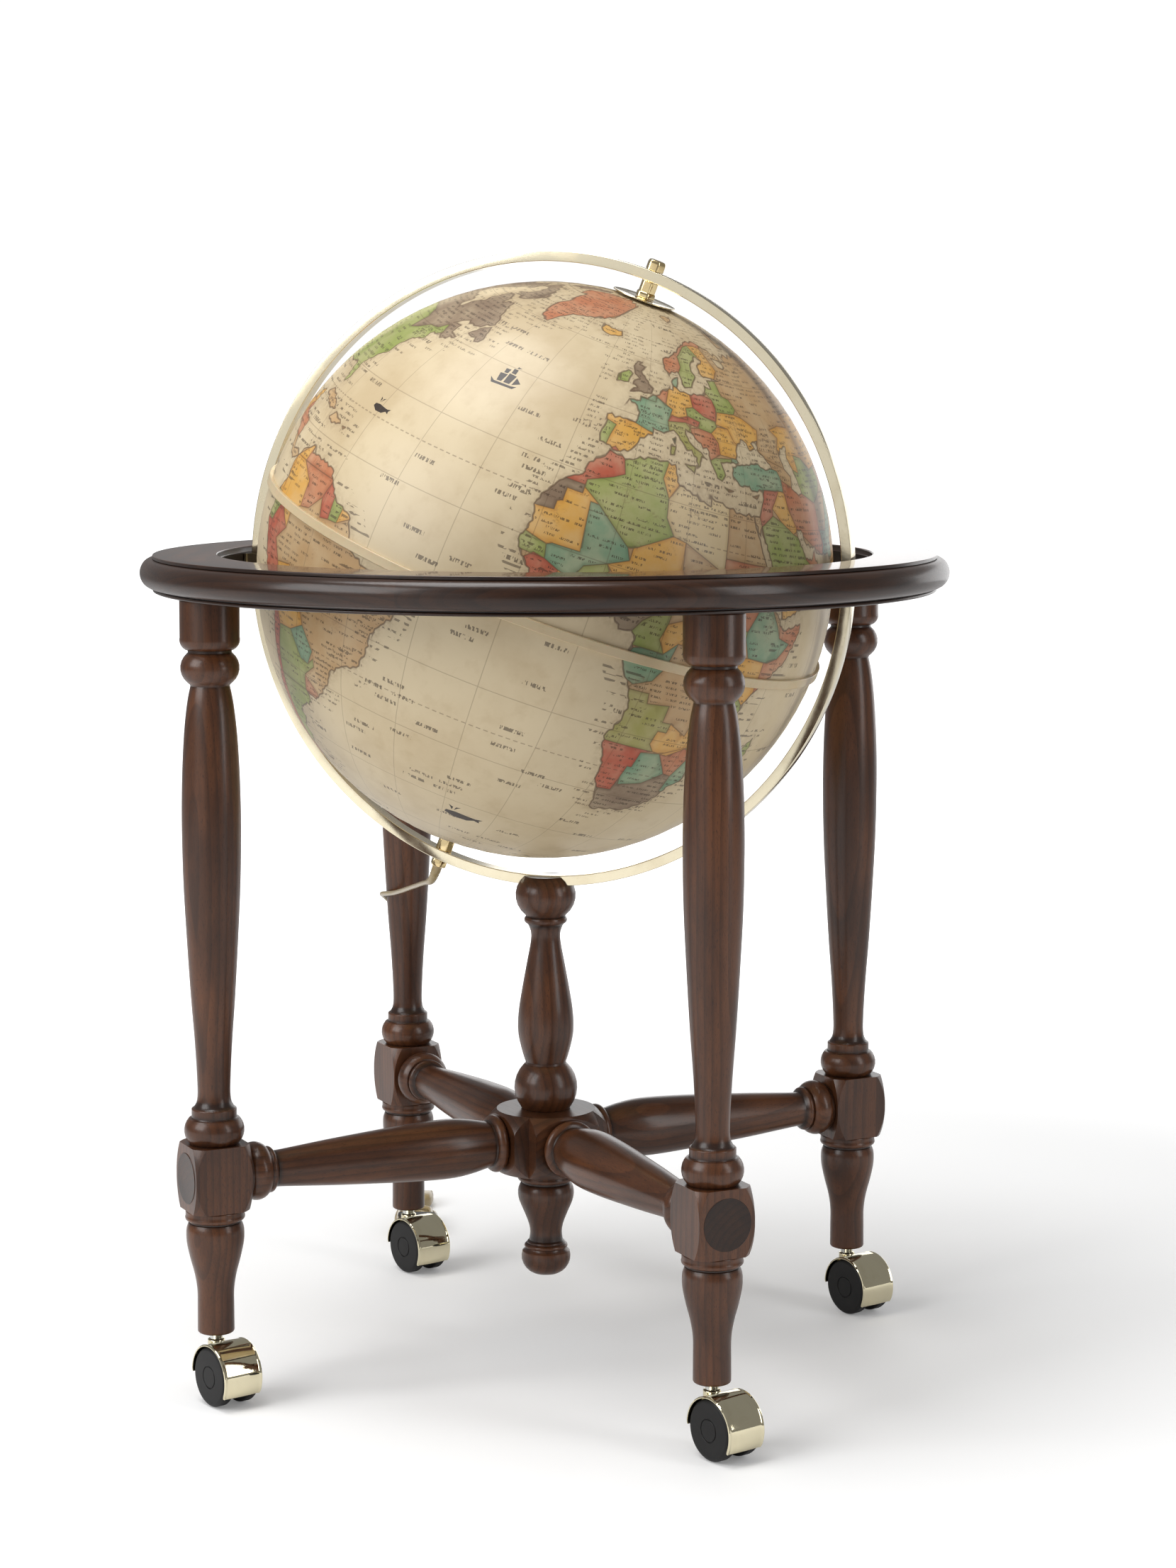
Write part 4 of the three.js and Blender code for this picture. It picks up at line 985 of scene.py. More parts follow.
print("wheel faces", len(wheel.data.polygons))

# %% [markdown]
# ## The map
# A printed globe is paper or film with the land laid out in flat tints. Here the map is real
# geometry: coasts and borders are short lists of longitude and latitude, they become edges of one
# triangulated sphere, and each triangle takes the tint of the land it lies in. Lines, ageing and the
# grey of small print come from the material. No word is printed: the small print is only marks.

# %% Coasts, as "longitude latitude" in degrees
COASTS = {
    "africa": """-6 36, -2 35, 3 37, 10 37.3, 11 34, 15 32.3, 20 31, 20 32.8, 25 31.6, 29 31,
        32.3 31.3, 32.6 29.9, 33.8 27.5, 35.5 24, 37.2 21, 37.5 18.5, 39.5 15.5, 43 12.5, 43.3 11.5,
        45 10.5, 51 12, 51.2 10.4, 48 4.5, 44 1, 41.5 -1.8, 39 -5, 39.5 -9, 40.5 -11, 40.6 -15,
        36.5 -18.8, 34.7 -20, 35.4 -23.5, 32.9 -25.5, 32.5 -28.5, 30.5 -31, 27 -33.6, 22 -34,
        19.8 -34.8, 18.4 -34, 18.2 -32, 16.5 -28.6, 15 -26.5, 14.4 -22.5, 12 -18, 11.8 -16,
        13.5 -12.5, 13.3 -9, 12.2 -6, 9.5 -2.5, 8.8 -0.7, 9.6 1, 9.7 3.8, 8.5 4.7, 6 4.3, 4.5 6.3,
        1 6, -2 4.8, -4.5 5.2, -7.6 4.4, -11 6.6, -13.2 8.8, -15 11, -16.7 12.5, -17.3 14.7,
        -16.3 16.5, -16.3 19.5, -17 21, -15.9 23.8, -14.4 26.2, -13 27.8, -10 29.5, -9.7 31.5,
        -8.5 33.3, -6.7 34.3""",
    "madagascar": "49.3 -12, 50.4 -15.5, 49.5 -18, 47 -25, 45 -25.5, 43.3 -22, 44.3 -16.3, 47 -15",
    "eurasia": """-5.5 36.1, -6.3 36.8, -8.9 37, -9.4 38.8, -8.8 41, -9.2 43.1, -4 43.5, -1.7 43.4,
        -1.2 45.8, -2.2 47.2, -4.7 48.2, -1.6 48.7, -1.7 49.7, 0.3 49.6, 1.7 50.9, 4 51.6, 4.8 53,
        8.4 53.8, 8.3 56.5, 10.5 57.7, 10.3 56, 9.8 54.8, 11 54, 14 54, 18.5 54.7, 21 55.3,
        21.5 57.5, 24.3 57.2, 23.6 59.2, 28 59.7, 30 60, 25 60.2, 22.5 60, 21.3 61, 21.4 63,
        25.3 65, 22.2 65.8, 17.5 62.4, 17.2 60.7, 18.5 59.5, 16.6 57.5, 15.8 56.1, 12.8 55.5,
        11.3 58.9, 10.6 59.4, 7.5 58, 5.4 59, 5 61.9, 9 63.7, 13 66.3, 16.5 68.5, 20 70, 25.5 71,
        31 70.3, 33.5 69.4, 41 67.5, 40 66.3, 34 66.7, 35 64.4, 38 64, 40 64.7, 40 66, 44 66.2,
        44 68.5, 54 68.6, 60 69, 68 69, 67 72, 70 73, 72.7 72, 73 68, 75 72, 80 73, 90 75.5,
        104 77.6, 112 76, 113 73.8, 128 73, 130 71, 140 72.7, 150 71.3, 160 70, 170 69.8, 180 68.9,
        190 66.2, 187 64.4, 179 62.5, 170 60, 163 60, 163 57.8, 162 55, 157 51, 156 57, 164 62,
        156 61.5, 150 59.5, 142 59, 135 54.7, 140 53, 141 48.5, 135.5 44, 131 42.7, 129.7 40.8,
        127.5 39.5, 129.4 37, 129 35.2, 126.5 34.5, 126.5 37.5, 124.8 39.7, 121.5 39, 122 40.6,
        118 39, 119 37.3, 122.4 37.2, 119.3 34.9, 121.8 31.6, 121.5 28.5, 119 25.5, 116.5 23,
        113 22, 110 20.4, 108 21.6, 105.8 19, 108.8 15.5, 109.2 12, 106.7 10.4, 104.8 8.7, 105 10.3,
        102.5 12, 101 13.4, 100 13, 99.3 9.5, 103.3 4.5, 104.2 1.4, 103.3 1.4, 100.5 5, 98.3 8,
        98.6 12, 97.6 16.5, 95 15.8, 94.3 18, 91.8 22.4, 88.5 21.8, 86.8 21.3, 85 19.5, 82.3 16.7,
        80.2 15.5, 80.2 12.5, 79.8 10.3, 78 8.3, 76.4 9.5, 74.5 14, 73 18, 72.7 21, 70.3 21,
        69 22.3, 70.2 23, 67.3 24.7, 66.5 25.3, 61.6 25.2, 57.3 25.7, 56.4 27, 54 26.7, 51.5 27.8,
        50 30, 48 30, 48.5 28.3, 50.2 26.5, 51.5 24.6, 54.5 24.2, 56.3 26.2, 56.8 24.2, 59.8 22.5,
        57.8 19, 55.2 17.5, 52.2 15.7, 45 12.8, 43.4 12.7, 42.7 16.5, 39.2 21, 37.2 24.8, 35 28,
        34.9 29.5, 34.3 27.8, 32.7 29.9, 32.5 31.2, 34.2 31.3, 35 33, 36 35, 36 36.5, 33 36.2,
        30.6 36.8, 28.2 36.7, 26.3 38.2, 26.5 40, 29 40.8, 31.5 41.3, 35 42, 38.5 41, 41.5 41.5,
        39 44, 37 45, 38 47, 35 46.2, 36 45.2, 33.6 44.5, 33 46, 31 46.6, 28.8 44.5, 28 42,
        28.6 41.3, 26 40.8, 23.7 40.5, 22.8 40.4, 24 38, 22.8 36.6, 21.5 37, 19.5 40.5, 19.3 42,
        16 43.5, 13.7 45, 12.3 45.4, 12.4 44.2, 14 42.5, 16 41.6, 18.5 40.2, 17 40.4, 16.6 38.5,
        15.8 38, 15.7 40, 12.2 41.7, 10.3 43.5, 8.8 44.4, 6.2 43.1, 3.2 43.3, 3.2 41.9, 0.2 40.5,
        -0.3 38.8, -2 36.8""",
    "britain": """-5.2 50, -3 50.7, 1.3 51.2, 1.7 52.6, 0.2 53.3, -1.5 55, -3 56, -1.9 57.5,
        -4 57.8, -3.2 58.6, -5 58.5, -5.8 57, -4.8 54.8, -3 54, -4.5 53.2, -4.8 52.1, -3.2 51.5,
        -4.2 51.2""",
    "ireland": "-6.2 53.4, -6.3 52.2, -9.8 51.5, -9.9 53.3, -8.4 54.5, -7.3 55.3, -5.6 54.6",
    "iceland": "-22.5 64, -18.5 63.5, -14 64.7, -14.8 66.2, -20 66, -23.5 66.3, -24 65",
    "greenland": """-44 60, -42.8 62.5, -39.8 65.3, -34 66.5, -28 68.4, -22 70.4, -20 74, -18 77,
        -14 81, -30 83.5, -45 82.5, -60 81.8, -68 79.5, -72 78, -66 76, -58 75.3, -55 72, -52 69.5,
        -53.5 67, -51.5 64, -48.5 61""",
    "svalbard": "11 79, 16 76.8, 22 78.5, 25 80.2, 16 80",
    "novaya": "52 71, 58 70.8, 57 73.5, 68 76.8, 55 75",
    "sicily": "12.5 38, 15.5 38.2, 15.1 36.7",
    "sardinia": "8.4 40.9, 9.7 41, 9.5 39.2, 8.5 39",
    "corsica": "8.7 42.4, 9.5 42.9, 9.4 41.5",
    "crete": "23.6 35.5, 26.3 35.2, 24.8 34.8",
    "cyprus": "32.3 35, 34.5 35.6, 33.6 34.7",
    "ceylon": "80 9.7, 81.8 7.5, 80.6 6, 79.8 7.5",
    "honshu": "131 34, 135 33.6, 140 35, 141.8 39.5, 141 41.3, 139.8 39, 136.8 37, 132.5 35.5",
    "hokkaido": "140 41.6, 145.4 43.3, 142 45.4, 141.5 43.3",
    "kyushu": "129.8 33, 131.8 33.5, 131.3 31.3, 130 31.5",
    "formosa": "120.2 23, 121.9 25.1, 121 22",
    "luzon": "120.3 16, 120.8 18.5, 122.2 18.4, 121.6 15.5, 124 13, 121 13.8",
    "mindanao": "122 7, 123.5 8.7, 126.4 8.5, 125.5 6",
    "sumatra": "95.3 5.6, 98 4.2, 103.6 -1, 106 -3, 105.8 -5.8, 102.3 -4, 98.5 1.7",
    "java": "105.2 -6.8, 110.8 -6.4, 114.4 -7.8, 110 -8.2",
    "borneo": "109 1.5, 111.3 2.6, 117 7, 119 5, 117.8 1, 116 -4, 111.7 -3.5, 109.2 -0.5",
    "celebes": "119.5 -5.3, 119.8 0.7, 125 1.5, 120.5 0.3, 123.3 -1, 121 -2, 122.6 -5, 120.6 -3",
    "papua": """131 -0.8, 134.2 -0.9, 135 -3.3, 141 -2.6, 147.5 -6, 150.5 -10.5, 144 -7.7,
        138.5 -8.2, 138 -5.5, 133 -4""",
    "australia": """113.7 -22.5, 114.2 -26.3, 115.7 -32, 115.1 -34.3, 118 -35, 123.5 -33.9,
        126 -32.3, 131 -31.5, 135 -34.7, 137.8 -32.6, 138.5 -35.6, 140.5 -38, 146.4 -39.1,
        150 -37.4, 152.5 -32.3, 153.5 -28, 150.8 -23.5, 146.2 -19, 145.3 -15, 142.5 -10.8,
        141.6 -14, 139.5 -17.5, 135.6 -15, 136.8 -12.2, 132.5 -11.4, 129.5 -14.9, 125.5 -14.2,
        122.2 -18, 117 -20.7""",
    "tasmania": "144.7 -40.7, 148.3 -40.9, 147 -43.6, 145.4 -42.5",
    "zealand_n": "172.7 -34.5, 175 -36.8, 178.5 -37.7, 175.3 -41.6, 173.8 -39.3",
    "zealand_s": "172.8 -40.6, 174.2 -41.7, 170.7 -45.9, 168 -46.6, 166.6 -45.8, 171 -42.3",
    "north_america": """-77.4 8.7, -79.5 9.6, -82 9, -83.6 11, -83.3 15, -88.3 15.8, -88.3 18.4,
        -87.3 21.4, -90.4 21, -91 18.8, -94.5 18.2, -97.2 20.5, -97.5 25.5, -94.8 29.3, -90 29.2,
        -85 29.8, -82.8 28, -81.2 25.3, -80 26.8, -81.3 30.5, -77.9 34, -75.7 35.4, -76 37.2,
        -74 40.4, -70 41.7, -70.5 43.3, -67 44.7, -65.3 43.6, -61 45.5, -64.5 46.2, -65 48.5,
        -69 48.2, -66.3 50.1, -60 50.2, -55.7 52.5, -58 54.8, -61.7 57.3, -64.8 60.4, -69.5 59,
        -70 61, -74 62.3, -78 62.4, -77.3 59.8, -78.5 58.7, -76.6 57, -79.8 54.7, -79 51.5,
        -82.3 52.9, -82.3 55.2, -88 56.7, -92.7 57, -94.5 59.5, -93 62, -88 64, -86 66.3,
        -81.5 67.3, -85.5 69.8, -94 71.8, -96 68.2, -108 68, -115 68.8, -124 70, -128 70, -136 69,
        -145 70, -156.5 71.3, -166 68.8, -162 66.2, -168 65.7, -161.5 64.5, -165 62, -162 59.8,
        -157.5 58.7, -162.5 55.2, -155 58, -150 59.3, -148 61, -140 59.8, -136 58, -131 55,
        -127.5 51, -123 49, -124.7 47.9, -124.2 43, -122.5 37.5, -120.6 34.6, -117.2 32.5, -115 29,
        -112.2 25, -110 23, -111 25.5, -113 28.5, -114.7 31.7, -112 29, -109.2 25.8, -105.4 21,
        -105.3 19.7, -101 17.3, -94.8 16, -91.5 14, -87.7 13, -85.7 10.8, -83 8.3, -80.3 7.4,
        -78.3 8.2""",
    "baffin": """-61.5 66.5, -68 70, -78 72.8, -89 73.5, -85 70.6, -78 70, -73 68, -73 65, -77.5 64,
        -68 62.5, -65 63.5""",
    "victoria": "-105 69.3, -116 69.8, -117 71.5, -112 73, -105 72.5",
    "ellesmere": "-77 76.5, -90 76.5, -92 80, -75 83, -66 82, -76 79.5",
    "newfoundland": "-59.3 47.7, -53.2 46.8, -52.8 48, -55.5 51.5, -57.3 50.6",
    "cuba": "-84.8 21.9, -82.5 23.1, -77 21.8, -74.3 20.2, -77.6 19.9",
    "hispaniola": "-74.4 18.4, -72.8 19.9, -68.4 18.6, -71.5 17.7",
    "puerto": "-67.2 18.4, -65.7 18.5, -66.3 17.9",
    "south_america": """-77.4 8.6, -75.5 10.8, -71.7 12.3, -71.5 10.9, -68 11.2, -62 10.7, -60 8.5,
        -57 6, -52 4.8, -50 1.2, -48.5 -1, -44.3 -2.6, -40 -2.9, -37 -4.8, -35 -6, -35 -8.8,
        -37.5 -12, -39 -14, -39.2 -18, -41 -22, -45 -23.5, -48.5 -26, -49 -28.7, -52 -32.5,
        -54.5 -34.8, -57.8 -34.3, -57 -36.5, -62 -38.9, -65 -41, -63.7 -42.6, -67.3 -46,
        -65.8 -47.8, -69 -50.5, -68.4 -52.5, -65.3 -54.8, -69 -55.4, -74 -52.5, -75.5 -48,
        -73.5 -42, -73.5 -37, -71.6 -33, -71.4 -28.5, -70.3 -20, -71.3 -17.7, -76.3 -13.8, -79.8 -7,
        -81.2 -5, -80 -2.5, -80 0.7, -78.8 2, -77.3 4, -77.9 7""",
    "falklands": "-61 -51.9, -57.8 -51.6, -59 -52.4",
    "antarctica": """-168.9 -78, -160 -77.5, -150 -76, -130 -74, -110 -74.5, -100 -73, -80 -73.5,
        -68 -68, -60 -63.8, -57 -63.3, -62 -68, -61 -74, -50 -78, -35 -78, -25 -75, -12 -71.5,
        0 -70, 15 -69.7, 33 -69, 40 -69.5, 50 -66.8, 60 -67.5, 70 -68.5, 80 -68, 90 -66.6, 105 -66,
        115 -66.8, 130 -66.2, 145 -67, 160 -69.5, 170 -71.8, 165 -76, 168 -78, 180 -78.2, 190.9 -78,
        190.9 -86, -168.9 -86""",
}
CASPIAN = "47.5 42, 50 40.5, 49 38, 52 36.8, 54 37.2, 53 40.5, 51 44.4, 53 46.8, 49 46.3, 47 44.6"

